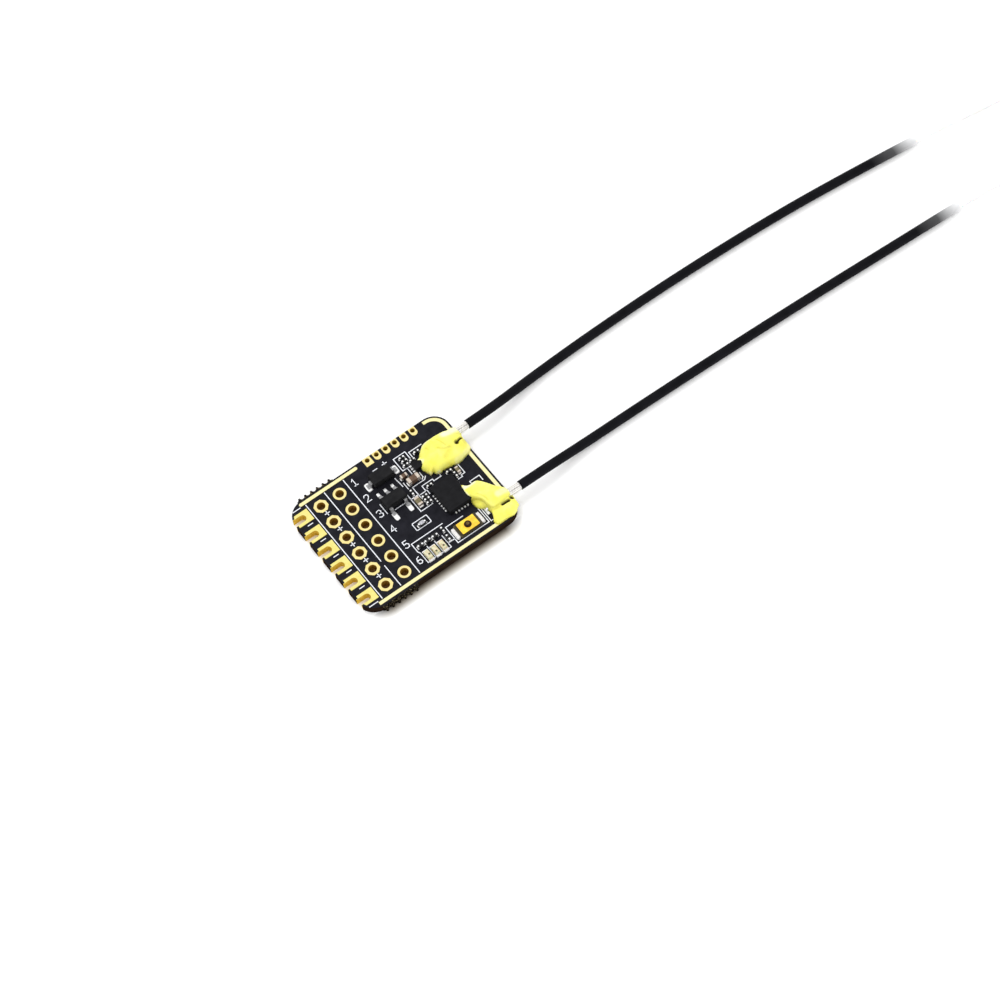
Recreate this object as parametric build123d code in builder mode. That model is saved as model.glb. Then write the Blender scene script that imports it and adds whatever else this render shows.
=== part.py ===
from build123d import *
import math
import os

# A radio-control receiver: a bare circuit board with two thin coaxial antennas.
# Millimetres. The origin is the middle of the board's underside, which lies on the table.
# X runs along the board towards the antennas, Y towards the small connector pads, Z up.

# Board
board_length = 21.15
board_width = 16.7
board_thickness = 1.0
slot_end_corner_radius = 2.2
antenna_end_corner_radius = 2.1

# Break-off tab stubs on both long edges, left where the board was snapped from its panel
tab_centre_x = -6.35
tab_tooth_pitch = 0.8
tab_tooth_count = 6
tab_stand_out = 0.4
tab_bite_radius = 0.3

# Copper and plating
barrel_wall = 0.035
pad_rise = 0.03
pad_inlay = 0.03

# Header grid: a row of open edge slots, a row with octagonal pads and a row with round pads
header_pitch = 2.54
header_count = 6
header_hole_diameter = 1.0
slot_row_inset = 1.11
slot_width = 0.9
slot_pad_length = 2.18
slot_pad_width = 1.64
slot_pad_edge_margin = 0.22
octagon_pad_width = 1.62
round_pad_diameter = 1.55

# Connector pads along one long edge
connector_pitch = 1.25
connector_count = 6
connector_hole_diameter = 0.58
connector_hole_inset = 0.42
connector_centre_from_end = 6.945
connector_pad_width = 0.85
connector_pad_length = 1.13
connector_first_pad_width = 1.0

# Bare gold strips that follow the board's edges
strip_width = 0.42
strip_inset = 0.44
strip_left_inset = 1.75
short_strip_length = 7.9
corner_strip_start_inset = 2.4

# Solder and small-part leads
solder_height = 0.1
solder_draft = 20.0
lead_thickness = 0.12
lead_shoulder_share = 0.35
mould_draft = 7.0

# Parts keep their distance from the antenna end, and y is counted from the board's middle

# Main radio chip, a flat package with leads on all four sides
radio_from_end = 5.325
radio_y = -1.82
radio_width = 3.0
radio_length = 4.0
radio_height = 0.8
radio_edge = 0.03
radio_lead_pitch = 0.4
radio_lead_width = 0.18
radio_lead_reach = 0.17
radio_lead_height = 0.1
radio_leads_long_side = 7
radio_leads_short_side = 5
radio_ground_pad_share = 0.6

# Voltage regulator with five bent leads
regulator_from_end = 10.675
regulator_y = 1.67
regulator_length = 2.8
regulator_width = 1.5
regulator_height = 1.0
regulator_lead_spacing = 1.92
regulator_lead_width = 0.38
regulator_lead_reach = 0.77
regulator_pad_inner = 1.05
regulator_pad_outer = 2.27
regulator_pad_width = 0.6

# Protection diode with one flat lead at each end
diode_from_end = 10.11
diode_y = 4.97
diode_length = 2.7
diode_width = 1.55
diode_height = 1.0
diode_lead_width = 0.55
diode_lead_reach = 0.63
diode_pad_inner = 1.5
diode_pad_outer = 2.18
diode_pad_width = 1.2

# Small antenna switch chip, half under the first blob of glue
switch_chip_from_end = 6.025
switch_chip_y = 3.73
switch_chip_width = 1.2
switch_chip_length = 1.1
switch_chip_height = 0.55
switch_chip_lead_pitch = 0.39
switch_chip_lead_width = 0.2
switch_chip_lead_reach = 0.25

# Push button
button_from_end = 6.06
button_y = -6.1
button_base_length = 3.0
button_base_width = 1.8
button_base_height = 0.2
button_top_length = 2.42
button_top_width = 1.62
button_top_height = 0.36
button_floor = 0.06
button_base_corner = 0.15
button_top_corner = 0.1
button_pocket_radius = 0.72
button_film_thickness = 0.05
button_film_margin = 0.06
button_plunger_radius = 0.4
button_plunger_gap = 0.04
button_plunger_edge = 0.08
button_plunger_stand_out = 0.2
button_collar_radius = 0.58
button_collar_thickness = 0.07
button_collar_gap = 0.03
button_dome_radius = 0.66
button_dome_sheet = 0.03
button_terminal_width = 1.42
button_terminal_reach = 0.36
button_pad_reach = 0.46
button_pad_width = 1.56

# Light-emitting diodes, three in a row
led_count = 3
led_pitch = 0.98
led_centre_from_end = 10.71
led_y = -6.4
led_length = 1.5
led_width = 0.68
led_base_height = 0.12
led_lens_length = 1.14
led_lens_width = 0.64
led_lens_height = 0.3
led_lens_draft = 7.0
led_terminal_length = 0.16

# Chip capacitors and resistors: distance from the antenna end, y, length, width, height,
# and whether turned a quarter
brown_capacitors = [
    (8.08, 3.5, 0.85, 0.45, 0.45, False),
    (7.47, 2.47, 1.5, 0.7, 0.65, False),
]
tan_capacitors = [
    (8.65, -0.2, 1.1, 0.58, 0.45, True),
    (2.85, 0.4, 0.8, 0.4, 0.35, True),
]
plain_resistors = [
    (9.94, -2.66, 1.0, 0.45, 0.33, False),
    (8.7, -5.98, 0.72, 0.48, 0.28, True),
]
led_resistor_length = 0.7
led_resistor_width = 0.5
led_resistor_height = 0.28
led_resistor_y = -4.85

# The smallest chip parts share one size: distance from the antenna end, y, turned a quarter
tiny_part_length = 0.62
tiny_part_width = 0.32
tiny_part_height = 0.26
tiny_parts = [
    (6.88, 5.69, False),
    (6.86, 5.15, False),
    (7.03, 4.62, False),
    (6.09, 4.69, False),
    (5.13, 5.29, False),
    (8.56, 1.25, True),
    (7.69, 0.01, False),
    (7.69, -0.46, False),
    (7.69, -0.94, False),
    (6.46, 0.79, False),
    (3.7, 0.9, False),
    (3.36, 0.1, True),
    (8.62, -4.76, True),
]
end_cap_share = 0.24
chip_pad_reach = 0.12

# Coaxial antennas
jacket_diameter = 1.13
braid_diameter = 0.9
dielectric_diameter = 0.68
conductor_diameter = 0.25
antenna_1_y = 4.38
antenna_2_y = -5.79
braid_reach_out = 1.32
braid_reach_in = 2.3
dielectric_reach_in = 2.9
conductor_reach_in = 3.32
ground_pad_length = 1.5
ground_pad_width = 1.9
signal_pad_length = 0.36
signal_pad_width = 1.15
braid_solder_width = 0.74
braid_solder_rise = 0.25

# Glue blobs: heights above the board, and how each level shrinks on the way up
glue_1_height = 1.5
glue_2_height = 1.4
glue_levels = [(0.0, 1.0), (0.4, 0.97), (0.75, 0.8), (1.0, 0.45)]

# Derived places
board_top = board_thickness
pad_top = board_top + pad_rise
part_seat = board_top + solder_height
antenna_edge_x = board_length / 2
slot_edge_x = -board_length / 2
side_edge_y = board_width / 2
slot_row_x = slot_edge_x + slot_row_inset
octagon_row_x = slot_row_x + header_pitch
round_row_x = octagon_row_x + header_pitch
header_ys = [(i - (header_count - 1) / 2) * header_pitch for i in range(header_count)]
radio_x = antenna_edge_x - radio_from_end
regulator_x = antenna_edge_x - regulator_from_end
diode_x = antenna_edge_x - diode_from_end
switch_chip_x = antenna_edge_x - switch_chip_from_end
button_x = antenna_edge_x - button_from_end
led_centre_x = antenna_edge_x - led_centre_from_end
led_xs = [led_centre_x + (i - (led_count - 1) / 2) * led_pitch for i in range(led_count)]
connector_centre_x = antenna_edge_x - connector_centre_from_end
connector_y = side_edge_y - connector_hole_inset
connector_xs = [
    connector_centre_x + (i - (connector_count - 1) / 2) * connector_pitch for i in range(connector_count)
]
coax_height = board_top + jacket_diameter / 2
braid_end_x = antenna_edge_x + braid_reach_out
jacket_floor = jacket_diameter / 2
tip_floor = dielectric_diameter / 2

# Antenna routes: x and y are counted from the braid's outer end, z from the table.
# Each jacket leaves level, comes down to the table and runs on in a slow curve.
jacket_1_route = [
    (0.0, 0.0, coax_height),
    (3.8, 0.03, coax_height),
    (9.3, 0.9, jacket_floor),
    (17.3, 1.22, jacket_floor),
    (28.8, 1.3, jacket_floor),
    (41.8, 0.87, jacket_floor),
    (52.8, 0.04, jacket_floor),
    (63.4, -1.18, jacket_floor),
]
tip_1_route = [
    (63.4, -1.18, jacket_floor),
    (67.37, -1.637, jacket_floor),
    (74.3, -2.58, tip_floor),
    (82.2, -3.66, tip_floor),
    (89.2, -4.78, tip_floor),
    (94.1, -5.66, tip_floor),
]
jacket_2_route = [
    (0.0, 0.0, coax_height),
    (3.8, -0.02, coax_height),
    (9.3, 0.34, jacket_floor),
    (17.8, 0.27, jacket_floor),
    (29.8, -0.02, jacket_floor),
    (41.8, -0.42, jacket_floor),
    (52.3, -0.93, jacket_floor),
    (61.45, -1.32, jacket_floor),
]
tip_2_route = [
    (61.45, -1.32, jacket_floor),
    (65.45, -1.491, jacket_floor),
    (72.45, -1.93, tip_floor),
    (80.45, -2.61, tip_floor),
    (87.45, -3.36, tip_floor),
    (92.35, -3.96, tip_floor),
]

# Glue outlines, counted from the board's antenna end and the antenna's own line
glue_1_outline = [
    (-6.05, -1.15),
    (-5.45, -0.45),
    (-5.0, 0.35),
    (-4.0, 0.92),
    (-2.5, 1.17),
    (-0.8, 0.95),
    (0.1, -0.6),
    (0.02, -2.4),
    (-1.4, -3.2),
    (-3.4, -3.1),
    (-5.35, -2.75),
]
glue_2_outline = [
    (-3.8, 3.9),
    (-2.9, 3.4),
    (-1.8, 3.3),
    (-0.75, 2.1),
    (0.1, 0.3),
    (-0.1, -1.3),
    (-1.1, -2.1),
    (-3.3, -1.7),
    (-3.05, -0.5),
    (-3.6, 0.9),
    (-4.0, 2.4),
]

os.makedirs("parts", exist_ok=True)


def save(builder, name):
    # Labels one finished piece and writes its file.
    builder.part.label = name
    export_step(builder.part, f"parts/{name}.step")


def board_outline(inset=0.0):
    # Draws the board's rounded outline into the open sketch, moved inwards by inset.
    left = slot_edge_x + inset
    right = antenna_edge_x - inset
    half = side_edge_y - inset
    left_radius = slot_end_corner_radius - inset
    right_radius = antenna_end_corner_radius - inset
    with BuildLine() as outline:
        Line((left + left_radius, half), (right - right_radius, half))
        RadiusArc((right - right_radius, half), (right, half - right_radius), right_radius)
        Line((right, half - right_radius), (right, -half + right_radius))
        RadiusArc((right, -half + right_radius), (right - right_radius, -half), right_radius)
        Line((right - right_radius, -half), (left + left_radius, -half))
        RadiusArc((left + left_radius, -half), (left, -half + left_radius), left_radius)
        Line((left, -half + left_radius), (left, half - left_radius))
        RadiusArc((left, half - left_radius), (left + left_radius, half), left_radius)
    make_face(outline.edges())


def slot_shape(grow=0.0):
    # One edge slot: a round inner end and straight sides that run out past the board's edge.
    radius = slot_width / 2 + grow
    run_out = slot_row_inset + slot_width
    for y in header_ys:
        with Locations((slot_row_x, y)):
            Circle(radius)
        with Locations((slot_row_x - run_out / 2, y)):
            Rectangle(run_out, 2 * radius)


def slot_pads():
    # Pads round the slots, kept a little inside the board's own outline.
    with Locations(*[(slot_edge_x + slot_pad_length / 2, y) for y in header_ys]):
        Rectangle(slot_pad_length, slot_pad_width)
    with BuildSketch(mode=Mode.PRIVATE) as inner_board:
        board_outline(slot_pad_edge_margin)
    add(inner_board.sketch, mode=Mode.INTERSECT)


def octagon_pads(row_x=octagon_row_x):
    # A row of octagonal pads with flat sides along the board's edges.
    with Locations(*[(row_x, y) for y in header_ys]):
        RegularPolygon(octagon_pad_width / 2, 8, major_radius=False, rotation=22.5)


def round_pads():
    with Locations(*[(round_row_x, y) for y in header_ys]):
        Circle(round_pad_diameter / 2)


def round_row_under_pads():
    # On the underside both rows of holes have octagonal pads.
    octagon_pads(round_row_x)


def connector_pads():
    # The first pad is square and wider, the others have a rounded inner end.
    half = connector_pad_width / 2
    with Locations((connector_xs[0], side_edge_y - connector_pad_length / 2)):
        Rectangle(connector_first_pad_width, connector_pad_length)
    for x in connector_xs[1:]:
        straight = connector_pad_length - half
        with Locations((x, side_edge_y - straight / 2)):
            Rectangle(connector_pad_width, straight)
        with Locations((x, side_edge_y - straight)):
            Circle(half)


def connector_under_pads():
    with Locations(*[(x, side_edge_y - connector_pad_length / 2) for x in connector_xs]):
        Rectangle(connector_pad_width, connector_pad_length)


def plated_row(top_pads, under_pads, xs, ys, hole_radius):
    # Adds the pads on both faces and the plated barrels between them to the open part.
    with BuildSketch(Plane.XY.offset(board_top)) as upper:
        top_pads()
    extrude(upper.sketch, amount=pad_rise)
    with BuildSketch() as lower:
        under_pads()
    extrude(lower.sketch, amount=pad_inlay)
    with BuildSketch() as barrels:
        with Locations(*[(x, y) for x in xs for y in ys]):
            Circle(hole_radius + barrel_wall)
    extrude(barrels.sketch, amount=pad_top)
    with BuildSketch() as holes:
        with Locations(*[(x, y) for x in xs for y in ys]):
            Circle(hole_radius)
    extrude(holes.sketch, amount=pad_top, mode=Mode.SUBTRACT)


# Circuit board: outline, break-off stubs, slots, drilled holes and seats for the underside pads
with BuildPart() as circuit_board:
    with BuildSketch():
        board_outline()
        tab_length = tab_tooth_count * tab_tooth_pitch
        for side in (1, -1):
            with Locations((tab_centre_x, side * side_edge_y)):
                Rectangle(tab_length, 2 * tab_stand_out)
            with Locations((tab_centre_x, side * (side_edge_y + tab_stand_out))):
                with GridLocations(tab_tooth_pitch, 1, tab_tooth_count + 1, 1):
                    Circle(tab_bite_radius, mode=Mode.SUBTRACT)
    extrude(amount=board_thickness)
    with BuildSketch():
        slot_shape(barrel_wall)
        with Locations(*[(x, y) for x in (octagon_row_x, round_row_x) for y in header_ys]):
            Circle(header_hole_diameter / 2 + barrel_wall)
        with Locations(*[(x, connector_y) for x in connector_xs]):
            Circle(connector_hole_diameter / 2 + barrel_wall)
    extrude(amount=board_thickness, mode=Mode.SUBTRACT)
    with BuildSketch():
        slot_pads()
    extrude(amount=pad_inlay, mode=Mode.SUBTRACT)
    with BuildSketch():
        octagon_pads()
        round_row_under_pads()
        connector_under_pads()
    extrude(amount=pad_inlay, mode=Mode.SUBTRACT)
save(circuit_board, "circuit_board")

# Plated pads and barrels
with BuildPart() as slot_pads_plated:
    with BuildSketch(Plane.XY.offset(board_top)):
        slot_pads()
    extrude(amount=pad_rise)
    with BuildSketch():
        slot_pads()
    extrude(amount=pad_inlay)
    with BuildSketch():
        slot_shape(barrel_wall)
        with BuildSketch(mode=Mode.PRIVATE) as whole_board:
            board_outline()
        add(whole_board.sketch, mode=Mode.INTERSECT)
    extrude(amount=pad_top)
    with BuildSketch():
        slot_shape()
    extrude(amount=pad_top, mode=Mode.SUBTRACT)
save(slot_pads_plated, "slot_pads")

with BuildPart() as octagon_pads_plated:
    plated_row(octagon_pads, octagon_pads, [octagon_row_x], header_ys, header_hole_diameter / 2)
save(octagon_pads_plated, "octagon_pads")

with BuildPart() as round_pads_plated:
    plated_row(round_pads, round_row_under_pads, [round_row_x], header_ys, header_hole_diameter / 2)
save(round_pads_plated, "round_pads")

with BuildPart() as connector_pads_plated:
    connector_radius = connector_hole_diameter / 2
    plated_row(connector_pads, connector_under_pads, connector_xs, [connector_y], connector_radius)
save(connector_pads_plated, "connector_pads")

# Bare gold strips: a short one beside the header, and a long one from the connector's far end
# round both antenna-end corners and back along the other long edge
strip_y = side_edge_y - strip_inset
strip_x = antenna_edge_x - strip_inset
strip_start_x = slot_edge_x + strip_left_inset
strip_corner_radius = antenna_end_corner_radius - strip_inset
with BuildPart() as border_strips:
    with BuildSketch(Plane.XY.offset(board_top)):
        with Locations((strip_start_x + short_strip_length / 2, strip_y)):
            SlotCenterToCenter(short_strip_length - strip_width, strip_width)
        with BuildLine() as strip_line:
            Line(
                (antenna_edge_x - corner_strip_start_inset, strip_y),
                (strip_x - strip_corner_radius, strip_y),
            )
            RadiusArc(
                (strip_x - strip_corner_radius, strip_y),
                (strip_x, strip_y - strip_corner_radius),
                strip_corner_radius,
            )
            Line((strip_x, strip_y - strip_corner_radius), (strip_x, -strip_y + strip_corner_radius))
            RadiusArc(
                (strip_x, -strip_y + strip_corner_radius),
                (strip_x - strip_corner_radius, -strip_y),
                strip_corner_radius,
            )
            Line((strip_x - strip_corner_radius, -strip_y), (strip_start_x, -strip_y))
        trace(line_width=strip_width)
    extrude(amount=pad_rise)
save(border_strips, "border_strips")


def solder_pads(places, length, width):
    # Low solder-covered pads with eased top edges, centred on the given places.
    with BuildSketch(Plane.XY.offset(board_top)) as pads:
        with Locations(*places):
            Rectangle(length, width)
    extrude(pads.sketch, amount=solder_height, taper=solder_draft)


def moulded_body(x, y, length, width, height):
    # A moulded package whose sides slope both ways from the parting line at half its height.
    with BuildSketch(Plane.XY.offset(part_seat + height / 2)) as middle:
        with Locations((x, y)):
            Rectangle(length, width)
    extrude(middle.sketch, amount=height / 2, taper=mould_draft)
    extrude(middle.sketch, amount=-height / 2, taper=mould_draft)


def bent_lead(x, y, facing, reach, width, height):
    # One bent lead: out of the body at x, y, down to the solder and outwards along it.
    # facing is the outward direction in the board's plane, height the lead's own above the solder.
    outward = Vector(*facing, 0)
    plane = Plane(origin=(x, y, part_seat), x_dir=outward, z_dir=outward.cross(Vector(0, 0, 1)))
    shoulder = reach * lead_shoulder_share
    with BuildSketch(plane) as profile:
        with BuildLine():
            Polyline(
                (0, height),
                (shoulder, height),
                (shoulder + lead_thickness / 2, lead_thickness),
                (reach, lead_thickness),
                (reach, 0),
                (shoulder - lead_thickness / 2, 0),
                (shoulder - lead_thickness, height - lead_thickness),
                (0, height - lead_thickness),
                close=True,
            )
        make_face()
    extrude(profile.sketch, amount=width / 2, both=True)


def chip_block(x, y, length, width, height):
    # A small block standing on the solder.
    with BuildSketch(Plane.XY.offset(part_seat)) as block:
        with Locations((x, y)):
            Rectangle(length, width)
    extrude(block.sketch, amount=height)


def chip_bodies(chips):
    # The ceramic middles of chip parts, between their end caps.
    for x, y, length, width, height, turned in chips:
        middle = length * (1 - 2 * end_cap_share)
        if turned:
            chip_block(x, y, width, middle, height)
        else:
            chip_block(x, y, middle, width, height)


def chip_end_caps(chips):
    # The metal caps at both ends of chip parts.
    for x, y, length, width, height, turned in chips:
        cap = length * end_cap_share
        offset = (length - cap) / 2
        for side in (-1, 1):
            if turned:
                chip_block(x, y + side * offset, width, cap, height)
            else:
                chip_block(x + side * offset, y, cap, width, height)


def chip_solder(chips):
    # Solder under both ends of chip parts, reaching out past the caps.
    for x, y, length, width, height, turned in chips:
        pad = length * end_cap_share + chip_pad_reach
        offset = (length + 2 * chip_pad_reach - pad) / 2
        for side in (-1, 1):
            if turned:
                solder_pads([(x, y + side * offset)], width, pad)
            else:
                solder_pads([(x + side * offset, y)], pad, width)


# Main radio chip
with BuildPart() as radio_chip:
    with BuildSketch(Plane.XY.offset(part_seat)):
        with Locations((radio_x, radio_y)):
            Rectangle(radio_width, radio_length)
    extrude(amount=radio_height)
    chamfer(radio_chip.faces().sort_by(Axis.Z)[-1].edges(), radio_edge)
save(radio_chip, "radio_chip")

with BuildPart() as radio_chip_leads:
    for side in (-1, 1):
        with BuildSketch(Plane.XY.offset(board_top)):
            with Locations((radio_x + side * (radio_width + radio_lead_reach) / 2, radio_y)):
                with GridLocations(1, radio_lead_pitch, 1, radio_leads_long_side):
                    Rectangle(radio_lead_reach, radio_lead_width)
            with Locations((radio_x, radio_y + side * (radio_length + radio_lead_reach) / 2)):
                with GridLocations(radio_lead_pitch, 1, radio_leads_short_side, 1):
                    Rectangle(radio_lead_width, radio_lead_reach)
        extrude(amount=solder_height + radio_lead_height)
    with BuildSketch(Plane.XY.offset(board_top)):
        with Locations((radio_x, radio_y)):
            Rectangle(radio_width * radio_ground_pad_share, radio_length * radio_ground_pad_share)
    extrude(amount=solder_height)
save(radio_chip_leads, "radio_chip_leads")

# Voltage regulator
with BuildPart() as regulator_body:
    moulded_body(regulator_x, regulator_y, regulator_length, regulator_width, regulator_height)
save(regulator_body, "regulator_body")

regulator_upper_xs = [regulator_x + side * regulator_lead_spacing / 2 for side in (-1, 0, 1)]
regulator_lower_xs = [regulator_upper_xs[0], regulator_upper_xs[2]]
with BuildPart() as regulator_leads:
    for x in regulator_upper_xs:
        bent_lead(
            x, regulator_y + regulator_width / 2, (0, 1),
            regulator_lead_reach, regulator_lead_width, regulator_height / 2 + lead_thickness / 2,
        )
    for x in regulator_lower_xs:
        bent_lead(
            x, regulator_y - regulator_width / 2, (0, -1),
            regulator_lead_reach, regulator_lead_width, regulator_height / 2 + lead_thickness / 2,
        )
save(regulator_leads, "regulator_leads")

with BuildPart() as regulator_solder:
    pad_length = regulator_pad_outer - regulator_pad_inner
    pad_centre = (regulator_pad_outer + regulator_pad_inner) / 2
    solder_pads([(x, regulator_y + pad_centre) for x in regulator_upper_xs], regulator_pad_width, pad_length)
    solder_pads([(x, regulator_y - pad_centre) for x in regulator_lower_xs], regulator_pad_width, pad_length)
save(regulator_solder, "regulator_solder")

# Protection diode
with BuildPart() as diode_body:
    moulded_body(diode_x, diode_y, diode_length, diode_width, diode_height)
save(diode_body, "diode_body")

with BuildPart() as diode_leads:
    for side in (-1, 1):
        bent_lead(
            diode_x + side * diode_length / 2, diode_y, (side, 0),
            diode_lead_reach, diode_lead_width, diode_height / 2 + lead_thickness / 2,
        )
save(diode_leads, "diode_leads")

with BuildPart() as diode_solder:
    diode_pad = diode_pad_outer - diode_pad_inner
    diode_pad_middle = (diode_pad_outer + diode_pad_inner) / 2
    diode_pad_places = [(diode_x + side * diode_pad_middle, diode_y) for side in (-1, 1)]
    solder_pads(diode_pad_places, diode_pad, diode_pad_width)
save(diode_solder, "diode_solder")

# Antenna switch chip with three short leads on each side
with BuildPart() as switch_chip:
    chip_block(switch_chip_x, switch_chip_y, switch_chip_width, switch_chip_length, switch_chip_height)
save(switch_chip, "switch_chip")

with BuildPart() as switch_chip_leads:
    lead_offset = (switch_chip_width + switch_chip_lead_reach) / 2
    with BuildSketch(Plane.XY.offset(board_top)):
        for side in (-1, 1):
            with Locations((switch_chip_x + side * lead_offset, switch_chip_y)):
                with GridLocations(1, switch_chip_lead_pitch, 1, 3):
                    Rectangle(switch_chip_lead_reach, switch_chip_lead_width)
    extrude(amount=solder_height + lead_thickness)
save(switch_chip_leads, "switch_chip_leads")


def placed(chips):
    # Turns each chip's distance from the antenna end into its x.
    return [(antenna_edge_x - from_end, *rest) for from_end, *rest in chips]


# Chip capacitors and resistors
brown_chips = placed(brown_capacitors)
tan_chips = placed(tan_capacitors)
led_resistor_size = (led_resistor_length, led_resistor_width, led_resistor_height)
resistor_chips = placed(plain_resistors) + [(x, led_resistor_y, *led_resistor_size, False) for x in led_xs]
tiny_part_size = (tiny_part_length, tiny_part_width, tiny_part_height)
tiny_chips = placed([(from_end, y, *tiny_part_size, turned) for from_end, y, turned in tiny_parts])
with BuildPart() as brown_capacitor_bodies:
    chip_bodies(brown_chips)
save(brown_capacitor_bodies, "brown_capacitor_bodies")

with BuildPart() as tan_capacitor_bodies:
    chip_bodies(tan_chips)
save(tan_capacitor_bodies, "tan_capacitor_bodies")

with BuildPart() as capacitor_end_caps:
    chip_end_caps(brown_chips + tan_chips)
save(capacitor_end_caps, "capacitor_end_caps")

with BuildPart() as resistor_bodies:
    chip_bodies(resistor_chips)
save(resistor_bodies, "resistor_bodies")

with BuildPart() as resistor_end_caps:
    chip_end_caps(resistor_chips)
save(resistor_end_caps, "resistor_end_caps")

with BuildPart() as tiny_part_bodies:
    chip_bodies(tiny_chips)
save(tiny_part_bodies, "tiny_part_bodies")

with BuildPart() as tiny_part_end_caps:
    chip_end_caps(tiny_chips)
save(tiny_part_end_caps, "tiny_part_end_caps")

with BuildPart() as chip_part_solder:
    chip_solder(brown_chips + tan_chips + resistor_chips + tiny_chips)
save(chip_part_solder, "chip_part_solder")

# Light-emitting diodes: base, clear lens with sloping sides, and a terminal at each end
with BuildPart() as led_bases:
    for x in led_xs:
        chip_block(x, led_y, led_width, led_length - 2 * led_terminal_length, led_base_height)
save(led_bases, "led_bases")

with BuildPart() as led_lenses:
    with BuildSketch(Plane.XY.offset(part_seat + led_base_height)):
        with Locations(*[(x, led_y) for x in led_xs]):
            Rectangle(led_lens_width, led_lens_length)
    extrude(amount=led_lens_height, taper=led_lens_draft)
save(led_lenses, "led_lenses")

with BuildPart() as led_terminals:
    for x in led_xs:
        for side in (-1, 1):
            chip_block(
                x, led_y + side * (led_length - led_terminal_length) / 2,
                led_width, led_terminal_length, led_base_height,
            )
    solder_pads(
        [(x, led_y + side * (led_length - led_terminal_length) / 2) for x in led_xs for side in (-1, 1)],
        led_width, led_terminal_length * 2,
    )
save(led_terminals, "led_terminals")

# Push button: a moulded base with a round pocket, a snap dome, a plunger and a film over the top
button_seat = part_seat
button_film_z = button_seat + button_top_height
pocket_floor_z = button_seat + button_floor
collar_top_z = button_film_z - button_collar_gap
collar_bottom_z = collar_top_z - button_collar_thickness
plunger_hole_radius = button_plunger_radius + button_plunger_gap
with BuildPart() as button_base:
    with BuildSketch(Plane.XY.offset(button_seat)):
        with Locations((button_x, button_y)):
            RectangleRounded(button_base_length, button_base_width, button_base_corner)
    extrude(amount=button_base_height)
    with BuildSketch(Plane.XY.offset(button_seat + button_base_height)):
        with Locations((button_x, button_y)):
            RectangleRounded(button_top_length, button_top_width, button_top_corner)
    extrude(amount=button_top_height - button_base_height)
    with BuildSketch(Plane.XY.offset(pocket_floor_z)):
        with Locations((button_x, button_y)):
            Circle(button_pocket_radius)
    extrude(amount=button_top_height - button_floor, mode=Mode.SUBTRACT)
save(button_base, "button_base")

with BuildPart() as button_film:
    with BuildSketch(Plane.XY.offset(button_film_z)):
        with Locations((button_x, button_y)):
            RectangleRounded(
                button_top_length - 2 * button_film_margin,
                button_top_width - 2 * button_film_margin,
                button_top_corner,
            )
            Circle(plunger_hole_radius, mode=Mode.SUBTRACT)
    extrude(amount=button_film_thickness)
save(button_film, "button_film")

with BuildPart() as button_plunger:
    with BuildSketch(Plane.XY.offset(collar_bottom_z)):
        with Locations((button_x, button_y)):
            Circle(button_collar_radius)
    extrude(amount=button_collar_thickness)
    with BuildSketch(Plane.XY.offset(collar_top_z)):
        with Locations((button_x, button_y)):
            Circle(button_plunger_radius)
    extrude(amount=button_collar_gap + button_film_thickness + button_plunger_stand_out)
    chamfer(button_plunger.faces().sort_by(Axis.Z)[-1].edges(), button_plunger_edge)
save(button_plunger, "button_plunger")

with BuildPart() as button_dome:
    dome_plane = Plane(origin=(button_x, button_y, pocket_floor_z), x_dir=(1, 0, 0), z_dir=(0, -1, 0))
    with BuildSketch(dome_plane):
        with BuildLine():
            rise = collar_bottom_z - pocket_floor_z - button_dome_sheet
            ThreePointArc((-button_dome_radius, 0), (0, rise), (button_dome_radius, 0))
            Line((button_dome_radius, 0), (button_dome_radius, button_dome_sheet))
            ThreePointArc(
                (button_dome_radius, button_dome_sheet), (0, rise + button_dome_sheet),
                (-button_dome_radius, button_dome_sheet),
            )
            Line((-button_dome_radius, button_dome_sheet), (-button_dome_radius, 0))
        make_face()
        with Locations((-button_dome_radius, 0)):
            Rectangle(2 * button_dome_radius, 4 * button_dome_radius, mode=Mode.SUBTRACT)
    revolve(axis=Axis((button_x, button_y, 0), (0, 0, 1)))
save(button_dome, "button_dome")

with BuildPart() as button_terminals:
    for side in (-1, 1):
        chip_block(
            button_x + side * (button_base_length + button_terminal_reach) / 2, button_y,
            button_terminal_reach, button_terminal_width, lead_thickness,
        )
save(button_terminals, "button_terminals")

with BuildPart() as button_solder:
    button_pad_offset = (button_base_length + button_pad_reach) / 2
    button_pad_places = [(button_x + side * button_pad_offset, button_y) for side in (-1, 1)]
    solder_pads(button_pad_places, button_pad_reach, button_pad_width)
save(button_solder, "button_solder")


def coax_plane(y, x):
    # The plane across one coax at x, with its middle on the coax's own line.
    return Plane(origin=(x, y, coax_height), x_dir=(0, 1, 0), z_dir=(1, 0, 0))


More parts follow.
